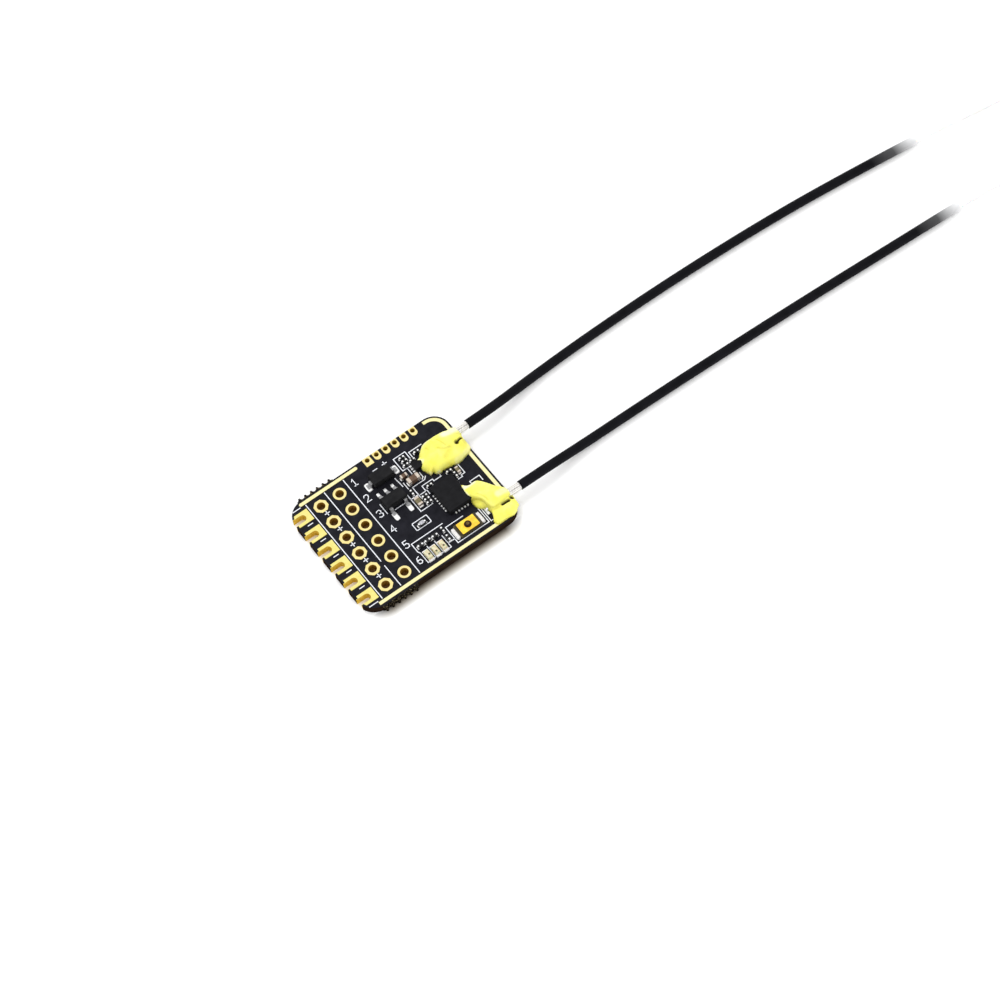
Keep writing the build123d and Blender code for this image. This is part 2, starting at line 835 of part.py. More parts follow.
# The soldered end of each coax: braid tube, inner insulation with its bare conductor bent down
# to the signal pad, solder under the conductor, and solder drawn up round the braid's underside
braid_start_x = antenna_edge_x - braid_reach_in
dielectric_start_x = antenna_edge_x - dielectric_reach_in
conductor_end_x = antenna_edge_x - conductor_reach_in
antenna_ys = {1: antenna_1_y, 2: antenna_2_y}
braids = {}
cores = {}
for number, y in antenna_ys.items():
    with BuildPart() as antenna_braid:
        with BuildSketch(coax_plane(y, braid_start_x)):
            Circle(braid_diameter / 2)
            Circle(dielectric_diameter / 2, mode=Mode.SUBTRACT)
        extrude(amount=braid_end_x - braid_start_x)
    braids[number] = antenna_braid
    save(antenna_braid, f"antenna_{number}_braid")

    with BuildPart() as antenna_core:
        with BuildSketch(coax_plane(y, dielectric_start_x)):
            Circle(dielectric_diameter / 2)
        extrude(amount=braid_end_x - dielectric_start_x)
        with BuildLine() as conductor_line:
            Line(
                (dielectric_start_x, y, coax_height),
                (conductor_end_x, y, part_seat + conductor_diameter / 2),
            )
        with BuildSketch(Plane(origin=conductor_line.line @ 0, z_dir=conductor_line.line % 0)):
            Circle(conductor_diameter / 2)
        sweep(path=conductor_line.line)
    cores[number] = antenna_core
    save(antenna_core, f"antenna_{number}_core")

with BuildPart() as antenna_solder:
    ground_pad_places = [(braid_start_x + ground_pad_length / 2, y) for y in antenna_ys.values()]
    solder_pads(ground_pad_places, ground_pad_length, ground_pad_width)
    solder_pads([(conductor_end_x, y) for y in antenna_ys.values()], signal_pad_length, signal_pad_width)
    with BuildSketch(Plane.XY.offset(part_seat)):
        with Locations(*ground_pad_places):
            Rectangle(ground_pad_length, braid_solder_width)
    extrude(amount=braid_solder_rise)
    for y in antenna_ys.values():
        with BuildSketch(coax_plane(y, braid_start_x)):
            Circle(braid_diameter / 2)
        extrude(amount=ground_pad_length, mode=Mode.SUBTRACT)
save(antenna_solder, "antenna_solder")

# Glue over the soldered ends: a low dome that has flowed round everything under it
glue_shapes = {1: (glue_1_outline, glue_1_height), 2: (glue_2_outline, glue_2_height)}
under_glue = [radio_chip, radio_chip_leads, switch_chip, switch_chip_leads, border_strips, antenna_solder]
for number, (outline, height) in glue_shapes.items():
    centre_x = sum(x for x, y in outline) / len(outline)
    centre_y = sum(y for x, y in outline) / len(outline)
    with BuildPart() as glue:
        for rise, share in glue_levels:
            with BuildSketch(Plane.XY.offset(board_top + rise * height)):
                with BuildLine():
                    Spline(
                        [
                            (
                                antenna_edge_x + centre_x + share * (x - centre_x),
                                antenna_ys[number] + centre_y + share * (y - centre_y),
                            )
                            for x, y in outline
                        ],
                        periodic=True,
                    )
                make_face()
        loft()
        for piece in under_glue + [braids[number], cores[number]]:
            add(piece.part, mode=Mode.SUBTRACT)
    save(glue, f"glue_{number}")


def corner_radii(points):
    # The largest arc that each corner's two runs leave room for.
    radii = []
    for before, corner, after in zip(points, points[1:], points[2:]):
        run_in = Vector(*corner) - Vector(*before)
        run_out = Vector(*after) - Vector(*corner)
        turn = math.radians(run_in.get_angle(run_out))
        radii.append(0.45 * min(run_in.length, run_out.length) / math.tan(turn / 2))
    return radii


def free_tube(name, route, y, diameter):
    # A round tube along a route of straight runs and tangent arcs.
    points = [(braid_end_x + x, y + side, z) for x, side, z in route]
    radii = corner_radii(points)
    with BuildPart() as tube:
        with BuildLine() as line:
            FilletPolyline(*points, radius=radii)
        path = line.wire()
        with BuildSketch(Plane(origin=path @ 0, z_dir=path % 0)):
            Circle(diameter / 2)
        sweep(path=path)
    save(tube, name)
    volume_share = tube.part.volume / (math.pi * diameter**2 / 4 * path.length)
    print(name, "length", round(path.length, 2), "volume to section times length", round(volume_share, 4))
    print("  bend radii", [round(radius, 1) for radius in radii])


# The free antennas: a black jacket and, past its end, the bare receiving tip in its clear insulation
free_tube("antenna_1_jacket", jacket_1_route, antenna_1_y, jacket_diameter)
free_tube("antenna_1_tip", tip_1_route, antenna_1_y, dielectric_diameter)
free_tube("antenna_2_jacket", jacket_2_route, antenna_2_y, jacket_diameter)
free_tube("antenna_2_tip", tip_2_route, antenna_2_y, dielectric_diameter)
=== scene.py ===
import math
import random

import bmesh
import bpy
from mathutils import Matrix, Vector, noise


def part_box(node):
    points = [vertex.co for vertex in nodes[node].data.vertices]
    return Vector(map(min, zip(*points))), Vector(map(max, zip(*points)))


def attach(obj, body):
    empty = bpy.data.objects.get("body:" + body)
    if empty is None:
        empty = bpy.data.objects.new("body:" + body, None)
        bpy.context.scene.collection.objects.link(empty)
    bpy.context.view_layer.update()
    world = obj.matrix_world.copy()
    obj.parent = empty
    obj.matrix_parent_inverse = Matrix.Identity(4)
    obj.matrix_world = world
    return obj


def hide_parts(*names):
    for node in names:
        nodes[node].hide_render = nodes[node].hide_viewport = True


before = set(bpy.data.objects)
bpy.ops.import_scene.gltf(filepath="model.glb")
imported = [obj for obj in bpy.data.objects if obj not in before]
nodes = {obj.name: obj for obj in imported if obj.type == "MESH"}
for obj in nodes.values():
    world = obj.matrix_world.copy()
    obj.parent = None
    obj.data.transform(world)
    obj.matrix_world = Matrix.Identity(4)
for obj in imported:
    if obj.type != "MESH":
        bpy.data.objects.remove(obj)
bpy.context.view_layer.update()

# Sizes are in millimetres until they reach Blender, which works in metres
MM = 0.001

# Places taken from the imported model
board_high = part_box("circuit_board")[1] / MM
board_top = board_high.z
antenna_end_x = board_high.x
braid_end_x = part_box("antenna_1_braid")[1].x / MM
regulator_y = sum(corner.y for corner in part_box("regulator_body")) / 2 / MM

# The board's half width without its stubs, and where the stubs' raw ends start
BOARD_HALF_WIDTH = 8.35
STUB_START = 8.37

# The plunger's paler middle, and the stretch over which a jacket's far end turns pale
PLUNGER_HEART = 0.2
JACKET_FADE = 6.0

# The brown shade under the board, and the soft shade along its lower long edge
UNDER_SHADE_X = 8.1
UNDER_SHADE_Y = 7.95
EDGE_SHADE = 1.6
EDGE_SHADE_START = -0.1
CORNER_FADE = 2.4
CORNER_FADE_START = 7.8

# The antennas' lines, and their routes: x from the braid's outer end, y from the line, z from the table
ANTENNA_1_Y = 4.38
ANTENNA_2_Y = -5.79
COAX_HEIGHT = 1.565
JACKET_FLOOR = 0.565
TIP_FLOOR = 0.34
JACKET_DIAMETER = 1.13
TIP_DIAMETER = 0.68
JACKET_1_LENGTH = 63.6
JACKET_2_LENGTH = 61.6
jacket_1_route = [
    (0.0, 0.0, COAX_HEIGHT),
    (3.8, 0.03, COAX_HEIGHT),
    (9.3, 0.9, JACKET_FLOOR),
    (17.3, 1.22, JACKET_FLOOR),
    (28.8, 1.3, JACKET_FLOOR),
    (41.8, 0.87, JACKET_FLOOR),
    (52.8, 0.04, JACKET_FLOOR),
    (63.4, -1.18, JACKET_FLOOR),
]
tip_1_route = [
    jacket_1_route[-1],
    (67.37, -1.637, JACKET_FLOOR),
    (74.3, -2.58, TIP_FLOOR),
    (82.2, -3.66, TIP_FLOOR),
    (89.2, -4.78, TIP_FLOOR),
    (94.1, -5.66, TIP_FLOOR),
]
jacket_2_route = [
    (0.0, 0.0, COAX_HEIGHT),
    (3.8, -0.02, COAX_HEIGHT),
    (9.3, 0.34, JACKET_FLOOR),
    (17.8, 0.27, JACKET_FLOOR),
    (29.8, -0.02, JACKET_FLOOR),
    (41.8, -0.42, JACKET_FLOOR),
    (52.3, -0.93, JACKET_FLOOR),
    (61.45, -1.32, JACKET_FLOOR),
]
tip_2_route = [
    jacket_2_route[-1],
    (65.45, -1.491, JACKET_FLOOR),
    (72.45, -1.93, TIP_FLOOR),
    (80.45, -2.61, TIP_FLOOR),
    (87.45, -3.36, TIP_FLOOR),
    (92.35, -3.96, TIP_FLOOR),
]

# Corners of a solid closer than this are one corner
WELD_DISTANCE = 0.001


def loose_boxes(node):
    # The lowest and highest corner of each separate solid in a CAD node, in millimetres.
    work = bmesh.new()
    work.from_mesh(nodes[node].data)
    bmesh.ops.remove_doubles(work, verts=work.verts, dist=WELD_DISTANCE * MM)
    seen = set()
    boxes = []
    for start in work.verts:
        if start.index in seen:
            continue
        seen.add(start.index)
        group = [start]
        for vertex in group:
            for edge in vertex.link_edges:
                other = edge.other_vert(vertex)
                if other.index not in seen:
                    seen.add(other.index)
                    group.append(other)
        corners = [vertex.co / MM for vertex in group]
        low = Vector([min(c[k] for c in corners) for k in range(3)])
        high = Vector([max(c[k] for c in corners) for k in range(3)])
        boxes.append((low, high))
    work.free()
    return boxes


class Shader:
    # One procedural material, with short calls for the nodes used again and again.
    def __init__(self, name, metallic=0.0):
        self.material = bpy.data.materials.new(name)
        self.material.use_nodes = True
        self.tree = self.material.node_tree
        self.surface = self.tree.nodes["Principled BSDF"]
        self.set("Metallic", metallic)
        coordinates = self.node("ShaderNodeTexCoord")
        self.place = coordinates.outputs["Object"]
        self.facing = coordinates.outputs["Normal"]

    def node(self, kind, **settings):
        made = self.tree.nodes.new(kind)
        for name, value in settings.items():
            setattr(made, name, value)
        return made

    def join(self, source, target):
        self.tree.links.new(source, target)

    def noise(self, grain, detail=3.0, stretch=None):
        # grain is the size of one patch in millimetres; stretch lengthens patches along the axes.
        texture = self.node("ShaderNodeTexNoise")
        texture.inputs["Scale"].default_value = 1.0 / (grain * MM)
        texture.inputs["Detail"].default_value = detail
        if stretch:
            mapping = self.node("ShaderNodeMapping")
            mapping.inputs["Scale"].default_value = [1.0 / amount for amount in stretch]
            self.join(self.place, mapping.inputs["Vector"])
            self.join(mapping.outputs["Vector"], texture.inputs["Vector"])
        else:
            self.join(self.place, texture.inputs["Vector"])
        return texture.outputs["Fac"]

    def cells(self, grain):
        texture = self.node("ShaderNodeTexVoronoi")
        texture.inputs["Scale"].default_value = 1.0 / (grain * MM)
        self.join(self.place, texture.inputs["Vector"])
        return texture.outputs["Distance"]

    def ramp(self, value, *stops):
        # Each stop is (position, colour).
        made = self.node("ShaderNodeValToRGB")
        elements = made.color_ramp.elements
        while len(elements) < len(stops):
            elements.new(0.5)
        for element, (position, colour) in zip(elements, stops):
            element.position = position
            element.color = (*colour, 1.0)
        self.join(value, made.inputs["Fac"])
        return made.outputs["Color"]

    def patches(self, grain, dark, light, start=0.3, end=0.7):
        # Two close colours in soft patches.
        return self.ramp(self.noise(grain), (start, dark), (end, light))

    def mix(self, factor, first, second):
        made = self.node("ShaderNodeMix", data_type="RGBA")
        self.join(factor, made.inputs["Factor"])
        self.join(first, made.inputs["A"])
        self.join(second, made.inputs["B"])
        return made.outputs["Result"]

    def math(self, operation, first, second=None):
        made = self.node("ShaderNodeMath", operation=operation)
        for socket, value in zip(made.inputs, (first, second)):
            if value is None:
                continue
            if isinstance(value, (int, float)):
                socket.default_value = value
            else:
                self.join(value, socket)
        return made.outputs[0]

    def axis(self, source, name):
        made = self.node("ShaderNodeSeparateXYZ")
        self.join(source, made.inputs["Vector"])
        return made.outputs[name]

    def flat_faces(self):
        # 1 on faces that look up or down, 0 on upright walls.
        upright = self.math("ABSOLUTE", self.axis(self.facing, "Z"))
        return self.math("GREATER_THAN", upright, 0.5)

    def away(self, x, y):
        # Distance in millimetres from an upright line at a place on the board.
        flat = self.node("ShaderNodeVectorMath", operation="MULTIPLY")
        flat.inputs[1].default_value = (1.0 / MM, 1.0 / MM, 0.0)
        self.join(self.place, flat.inputs[0])
        apart = self.node("ShaderNodeVectorMath", operation="DISTANCE")
        apart.inputs[1].default_value = (x, y, 0.0)
        self.join(flat.outputs["Vector"], apart.inputs[0])
        return apart.outputs["Value"]

    def drive(self, name, source):
        self.join(source, self.surface.inputs[name])

    def set(self, name, value):
        self.surface.inputs[name].default_value = value

    def colour(self, source):
        self.drive("Base Color", source)

    def rough(self, value, low, high):
        made = self.node("ShaderNodeMapRange")
        made.inputs["To Min"].default_value = low
        made.inputs["To Max"].default_value = high
        self.join(value, made.inputs["Value"])
        self.drive("Roughness", made.outputs["Result"])

    def bump(self, value, height, strength=1.0):
        made = self.node("ShaderNodeBump")
        made.inputs["Distance"].default_value = height * MM
        made.inputs["Strength"].default_value = strength
        self.join(value, made.inputs["Height"])
        self.drive("Normal", made.outputs["Normal"])


# Gloss patches and grain as shares of the colour patches, and the swing in roughness
GLOSS_SHARE = 0.7
GRAIN_SHARE = 0.3
SMOOTHER = 0.07
ROUGHER = 0.1


def tinted(name, dark, light, roughness, grain, bump, metallic=0.0):
    # The plain recipe: two close colours in soft patches, uneven gloss and a fine grain.
    shader = Shader(name, metallic=metallic)
    shader.colour(shader.patches(grain, dark, light))
    shader.rough(shader.noise(grain * GLOSS_SHARE), roughness - SMOOTHER, roughness + ROUGHER)
    shader.bump(shader.noise(grain * GRAIN_SHARE), bump)
    return shader.material


def board_material():
    # Black solder mask on the faces, layered brown laminate at the cut edges, raw stubs.
    shader = Shader("board_mask")
    mask = shader.patches(0.9, (0.006, 0.006, 0.009), (0.013, 0.013, 0.018))
    layers = shader.noise(0.12, detail=2.0, stretch=(9.0, 9.0, 1.0))
    laminate = shader.ramp(
        layers, (0.35, (0.012, 0.007, 0.005)), (0.6, (0.024, 0.014, 0.009)), (0.8, (0.05, 0.03, 0.014))
    )
    face = shader.flat_faces()
    surface = shader.mix(face, laminate, mask)
    across = shader.math("ABSOLUTE", shader.axis(shader.place, "Y"))
    stub = shader.math("GREATER_THAN", across, STUB_START * MM)
    raw = shader.ramp(
        shader.cells(0.16),
        (0.25, (0.004, 0.003, 0.003)), (0.65, (0.012, 0.009, 0.006)), (0.85, (0.16, 0.13, 0.07)),
    )
    shader.colour(shader.mix(stub, surface, raw))
    shader.rough(shader.noise(0.5), 0.34, 0.5)
    shader.bump(shader.noise(0.09, detail=5.0), 0.006, 0.5)
    shader.drive("Specular IOR Level", shader.math("MULTIPLY", face, 0.08))
    return shader.material


def gold_material(name, dark_flat, light_flat, dark_wall, light_wall):
    # Pale gold plating on the flats; a deeper copper-brown gold down the walls of holes and slots, darkened
    # there as painted shade.
    shader = Shader(name)
    flat = shader.patches(0.5, dark_flat, light_flat, 0.3, 0.75)
    wall = shader.patches(0.25, dark_wall, light_wall)
    face = shader.flat_faces()
    shader.colour(shader.mix(face, wall, flat))
    shader.drive("Metallic", face)
    shader.drive("Specular IOR Level", face)
    shader.rough(shader.noise(0.3), 0.28, 0.46)
    shader.bump(shader.noise(0.07), 0.006, 0.6)
    return shader.material


def chip_material(name, dark, light):
    # Moulding compound with fine sparkling grain.
    shader = Shader(name)
    shader.colour(shader.patches(0.6, dark, light))
    shader.rough(shader.noise(0.2), 0.42, 0.62)
    shader.bump(shader.noise(0.035, detail=5.0), 0.008, 0.7)
    shader.set("Specular IOR Level", 0.09)
    return shader.material


def solder_material():
    # Bright solder, wavy and a little dull in places.
    shader = Shader("bright_solder", metallic=0.6)
    shader.colour(shader.patches(0.3, (0.84, 0.85, 0.86), (0.98, 0.98, 0.97), 0.3, 0.6))
    shader.rough(shader.noise(0.15), 0.2, 0.4)
    shader.bump(shader.noise(0.14, detail=2.0), 0.02, 0.7)
    return shader.material


def resistor_material():
    # Near-black glaze on the small ones, and a pale grey top on the larger one.
    low, high = max(loose_boxes("resistor_bodies"), key=lambda box: (box[1] - box[0]).length)
    shader = Shader("resistor_glaze")
    small = shader.patches(0.12, (0.006, 0.006, 0.007), (0.02, 0.02, 0.021), 0.35, 0.65)
    large = shader.patches(0.16, (0.24, 0.24, 0.26), (0.46, 0.46, 0.49), 0.32, 0.55)
    apart = shader.away((low.x + high.x) / 2, (low.y + high.y) / 2)
    near = shader.math("LESS_THAN", apart, high.x - low.x)
    top = shader.math("GREATER_THAN", shader.axis(shader.facing, "Z"), 0.5)
    shader.colour(shader.mix(shader.math("MULTIPLY", near, top), small, large))
    shader.rough(shader.noise(0.2), 0.3, 0.5)
    shader.bump(shader.noise(0.06), 0.006, 0.5)
    shader.set("Specular IOR Level", 0.25)
    return shader.material


def print_material():
    # White printed ink, thin in places and slightly chalky.
    shader = Shader("white_print")
    shader.colour(shader.patches(0.12, (0.5, 0.52, 0.57), (0.8, 0.82, 0.86), 0.25, 0.5))
    shader.rough(shader.noise(0.1), 0.55, 0.75)
    shader.bump(shader.noise(0.04), 0.006, 0.7)
    return shader.material


def jacket_material(name, route):
    # Satin black jacket with a faint extrusion grain, paling into the clear insulation at its far end.
    shader = Shader(name)
    black = shader.patches(1.5, (0.002, 0.002, 0.003), (0.005, 0.005, 0.007))
    end_x = braid_end_x + route[-1][0]
    along = shader.math("DIVIDE", shader.axis(shader.place, "X"), JACKET_FADE * MM)
    near_end = shader.math("SUBTRACT", along, end_x / JACKET_FADE - 1.0)
    fade = shader.ramp(near_end, (0.0, (0.0, 0.0, 0.0)), (0.5, (0.07, 0.07, 0.07)), (1.0, (0.8, 0.8, 0.8)))
    pale = shader.patches(0.6, (0.86, 0.87, 0.88), (0.94, 0.94, 0.95))
    shader.colour(shader.mix(fade, black, pale))
    shader.rough(shader.noise(0.5), 0.4, 0.56)
    shader.bump(shader.noise(0.1, stretch=(12.0, 1.0, 1.0)), 0.006, 0.5)
    shader.set("Specular IOR Level", 0.07)
    return shader.material


def insulation_material():
    # Milky clear insulation: pale, soft and a little see-through.
    shader = Shader("milky_insulation")
    shader.colour(shader.patches(2.0, (0.8, 0.8, 0.79), (0.9, 0.9, 0.9)))
    shader.rough(shader.noise(0.6), 0.3, 0.45)
    shader.bump(shader.noise(0.12, stretch=(10.0, 1.0, 1.0)), 0.004, 0.4)
    shader.set("Subsurface Weight", 0.4)
    shader.set("Subsurface Scale", 0.3 * MM)
    return shader.material


def glue_material():
    # Pale lemon glue, glossy where it set smooth, with painted olive shade in its creases, painted cream
    # highlights at its rims, and painted black shade in its pits and as a shadow under the braid.
    shader = Shader("lemon_glue")
    soft = shader.noise(1.3)
    lemon = shader.ramp(
        soft, (0.3, (0.8, 0.75, 0.09)), (0.55, (0.82, 0.79, 0.14)), (0.75, (0.84, 0.82, 0.22))
    )
    # Tints per corner: red is black painted shade in pits and under the braid, green olive painted shade in
    # creases, blue pale painted highlights at rims
    tints = shader.node("ShaderNodeAttribute", attribute_name="tints")
    parts = shader.node("ShaderNodeSeparateColor")
    shader.join(tints.outputs["Color"], parts.inputs["Color"])
    even = shader.noise(0.5)
    cream = shader.ramp(even, (0.3, (0.9, 0.88, 0.5)), (0.7, (0.94, 0.92, 0.64)))
    olive = shader.ramp(even, (0.3, (0.4, 0.34, 0.03)), (0.7, (0.5, 0.45, 0.05)))
    pit = shader.ramp(even, (0.3, (0.006, 0.005, 0.003)), (0.7, (0.02, 0.016, 0.008)))
    tone = shader.mix(parts.outputs["Blue"], lemon, cream)
    tone = shader.mix(parts.outputs["Green"], tone, olive)
    shader.colour(shader.mix(parts.outputs["Red"], tone, pit))
    shader.rough(shader.noise(0.8), 0.3, 0.5)
    shader.bump(shader.noise(0.35), 0.02, 0.4)
    outside_pit_shade = shader.math("SUBTRACT", 1.0, parts.outputs["Red"])
    shader.drive("Subsurface Weight", shader.math("MULTIPLY", outside_pit_shade, 0.2))
    shader.drive("Specular IOR Level", shader.math("MULTIPLY", outside_pit_shade, 0.4))
    shader.set("Subsurface Radius", (1.0, 0.8, 0.25))
    shader.set("Subsurface Scale", 0.3 * MM)
    return shader.material


def film_material():
    # Amber film with softly darker and yellower patches.
    shader = Shader("amber_film")
    amber = shader.ramp(
        shader.noise(0.55),
        (0.3, (0.76, 0.42, 0.008)), (0.45, (0.84, 0.52, 0.012)), (0.62, (0.92, 0.66, 0.028)),
    )
    shader.colour(amber)
    shader.rough(shader.noise(0.4), 0.18, 0.34)
    shader.bump(shader.noise(0.3), 0.01, 0.5)
    shader.set("Coat Weight", 0.4)
    return shader.material


def plunger_material():
    # Dark brown round its rim and olive in the middle.
    low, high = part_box("button_plunger")
    shader = Shader("button_plunger")
    rim = shader.patches(0.25, (0.012, 0.004, 0.001), (0.03, 0.01, 0.002))
    middle = shader.patches(0.12, (0.07, 0.042, 0.01), (0.14, 0.095, 0.028))
    apart = shader.away((low.x + high.x) / 2 / MM, (low.y + high.y) / 2 / MM)
    inside = shader.math("LESS_THAN", apart, PLUNGER_HEART)
    shader.colour(shader.mix(inside, rim, middle))
    shader.rough(shader.noise(0.2), 0.3, 0.5)
    shader.bump(shader.noise(0.1), 0.006, 0.4)
    shader.set("Specular IOR Level", 0.15)
    return shader.material


def braid_material():
    # Silvered wire, tinned bright with greyer valleys.
    shader = Shader("silver_wire", metallic=1.0)
    shader.colour(shader.patches(0.12, (0.78, 0.76, 0.72), (0.97, 0.95, 0.92), 0.3, 0.55))
    shader.rough(shader.noise(0.08), 0.24, 0.42)
    shader.bump(shader.noise(0.03), 0.006, 0.5)
    return shader.material


def lens_material():
    # Cloudy yellowish resin.
    shader = Shader("led_resin")
    shader.colour(shader.patches(0.3, (0.48, 0.43, 0.24), (0.65, 0.61, 0.42), 0.35, 0.65))
    shader.rough(shader.noise(0.2), 0.15, 0.32)
    shader.bump(shader.noise(0.15), 0.01, 0.4)
    shader.set("Subsurface Weight", 0.3)
    shader.set("Subsurface Scale", 0.2 * MM)
    return shader.material


def floor_material():
    # Near-white table with a barely visible tooth and the board's two shades.
    shader = Shader("pale_floor")
    pale = shader.patches(30.0, (0.96, 0.96, 0.96), (0.98, 0.98, 0.98))
    along = shader.math("ABSOLUTE", shader.axis(shader.place, "X"))
    across = shader.math("ABSOLUTE", shader.axis(shader.place, "Y"))

    # Painted brown shade right under the board's middle, where it shows through the holes
    brown = shader.patches(0.4, (0.16, 0.075, 0.015), (0.28, 0.14, 0.03))
    under_x = shader.math("LESS_THAN", along, UNDER_SHADE_X * MM)
    under_y = shader.math("LESS_THAN", across, UNDER_SHADE_Y * MM)
    table = shader.mix(shader.math("MULTIPLY", under_x, under_y), pale, brown)

    # Painted shadow, soft and dark along the board's lower long edge, fading out at the corners
    beyond = shader.math("DIVIDE", shader.axis(shader.place, "Y"), -EDGE_SHADE * MM)
    beyond = shader.math("SUBTRACT", beyond, BOARD_HALF_WIDTH / EDGE_SHADE)
    soft = shader.ramp(
        beyond, (0.0, (0.04, 0.028, 0.02)), (0.1, (0.12, 0.1, 0.075)), (0.35, (0.36, 0.33, 0.28)),
        (0.6, (0.6, 0.58, 0.54)), (1.0, (0.97, 0.97, 0.97)),
    )
    corners = shader.math("DIVIDE", along, CORNER_FADE * MM)
    corners = shader.math("SUBTRACT", corners, CORNER_FADE_START / CORNER_FADE)
    beside = shader.ramp(corners, (0.0, (1.0, 1.0, 1.0)), (1.0, (0.0, 0.0, 0.0)))
    past_edge = shader.math("GREATER_THAN", beyond, EDGE_SHADE_START)
    shader.colour(shader.mix(shader.math("MULTIPLY", past_edge, beside), table, soft))
    shader.rough(shader.noise(8.0), 0.6, 0.75)
    return shader.material


BOARD = board_material()
# Dark and light tones: gold on flats, and gold down the walls of holes and slots, darkened there as painted
# shade
LEMON_GOLD = ((0.88, 0.78, 0.22), (0.95, 0.86, 0.33))
PALE_GOLD = ((0.95, 0.87, 0.42), (1.0, 0.94, 0.56))
WARM_GOLD = ((0.92, 0.76, 0.3), (0.98, 0.87, 0.42))
SHADED_BORE = ((0.2, 0.1, 0.011), (0.4, 0.21, 0.028))
SHADED_CONNECTOR_BORE = ((0.26, 0.15, 0.01), (0.5, 0.32, 0.035))
SHADED_SLOT_WALL = ((0.47, 0.28, 0.026), (0.74, 0.53, 0.085))
STRIP_GOLD = gold_material("strip_gold", *PALE_GOLD, *SHADED_BORE)
GOLD = gold_material("gold_plating", *WARM_GOLD, *SHADED_BORE)
CONNECTOR_GOLD = gold_material("connector_gold", *WARM_GOLD, *SHADED_CONNECTOR_BORE)
SLOT_GOLD = gold_material("slot_gold", *LEMON_GOLD, *SHADED_SLOT_WALL)
RADIO = chip_material("chip_black", (0.006, 0.006, 0.007), (0.01, 0.01, 0.0115))
MOULD = chip_material("mould_black", (0.007, 0.007, 0.008), (0.014, 0.014, 0.015))
SOLDER = solder_material()
LEAD_TIN = tinted("lead_tin", (0.16, 0.16, 0.165), (0.42, 0.42, 0.43), 0.35, 0.2, metallic=0.5, bump=0.008)
TERMINAL_TIN = tinted(
    "terminal_tin", (0.66, 0.64, 0.62), (0.86, 0.84, 0.82), 0.35, 0.3, metallic=0.5, bump=0.008
)
CAPS = tinted("tinned_caps", (0.54, 0.44, 0.36), (0.74, 0.68, 0.6), 0.32, 0.3, metallic=0.85, bump=0.01)
# End caps of the tiny parts and small resistors: tin painted near-black, a painted dark reflection
SMALL_CAPS_DARK_REFLECTION = tinted(
    "tin_painted_dark_reflection", (0.015, 0.015, 0.016), (0.05, 0.05, 0.052), 0.45, 0.2, metallic=0.2, bump=0.006
)
BROWN = tinted("brown_ceramic", (0.055, 0.027, 0.013), (0.12, 0.064, 0.034), 0.5, 0.3, bump=0.008)
TAN = tinted("tan_ceramic", (0.09, 0.075, 0.03), (0.19, 0.155, 0.075), 0.5, 0.3, bump=0.008)
RESISTOR = resistor_material()
PRINT = print_material()
JACKET_1 = jacket_material("jacket_1_black", jacket_1_route)
JACKET_2 = jacket_material("jacket_2_black", jacket_2_route)
INSULATION = insulation_material()
GLUE = glue_material()
FILM = film_material()
BRAID = braid_material()
# The braid body under the wound strands, painted grey as shade in the gaps between them
BRAID_GAP_SHADE = tinted(
    "braid_gap_shade", (0.16, 0.155, 0.145), (0.75, 0.72, 0.67), 0.4, 0.12, metallic=0.6, bump=0.006
)
LENS = lens_material()
LED_BOARD = tinted("led_board", (0.3, 0.27, 0.19), (0.5, 0.46, 0.35), 0.5, 0.3, bump=0.006)
LED_DIE = tinted("led_die", (0.05, 0.045, 0.015), (0.14, 0.125, 0.05), 0.4, 0.1, bump=0.004)
MOULDING = tinted("button_moulding", (0.018, 0.013, 0.003), (0.05, 0.038, 0.008), 0.5, 0.3, bump=0.008)
PLUNGER = plunger_material()
SPRING = tinted("spring_steel", (0.5, 0.5, 0.5), (0.7, 0.7, 0.7), 0.3, 0.3, metallic=1.0, bump=0.004)
FLOOR = floor_material()

# Every CAD node keeps its place and gets its finish
finishes = {
    "circuit_board": BOARD,
    "slot_pads": SLOT_GOLD,
    "octagon_pads": GOLD,
    "round_pads": GOLD,
    "connector_pads": CONNECTOR_GOLD,
    "border_strips": STRIP_GOLD,
    "radio_chip": RADIO,
    "switch_chip": RADIO,
    "regulator_body": MOULD,
    "diode_body": MOULD,
    "radio_chip_leads": SOLDER,
    "switch_chip_leads": SOLDER,
    "regulator_leads": LEAD_TIN,
    "diode_leads": LEAD_TIN,
    "regulator_solder": SOLDER,
    "diode_solder": SOLDER,
    "chip_part_solder": SOLDER,
    "antenna_solder": SOLDER,
    "button_solder": SOLDER,
    "button_terminals": TERMINAL_TIN,
    "led_terminals": SOLDER,
    "capacitor_end_caps": CAPS,
    "resistor_end_caps": SMALL_CAPS_DARK_REFLECTION,
    "tiny_part_end_caps": SMALL_CAPS_DARK_REFLECTION,
    "brown_capacitor_bodies": BROWN,
    "tan_capacitor_bodies": TAN,
    "tiny_part_bodies": RESISTOR,
    "resistor_bodies": RESISTOR,
    "led_bases": LED_BOARD,
    "led_lenses": LENS,
    "button_base": MOULDING,
    "button_film": FILM,
    "button_plunger": PLUNGER,
    "button_dome": SPRING,
    "antenna_1_braid": BRAID_GAP_SHADE,
    "antenna_2_braid": BRAID_GAP_SHADE,
    "antenna_1_core": INSULATION,
    "antenna_2_core": INSULATION,
    "antenna_1_jacket": JACKET_1,
    "antenna_2_jacket": JACKET_2,
    "antenna_1_tip": INSULATION,
    "antenna_2_tip": INSULATION,
    "glue_1": GLUE,
    "glue_2": GLUE,
}
for name, material in finishes.items():
    for material_slot in nodes[name].material_slots:
        material_slot.material = material

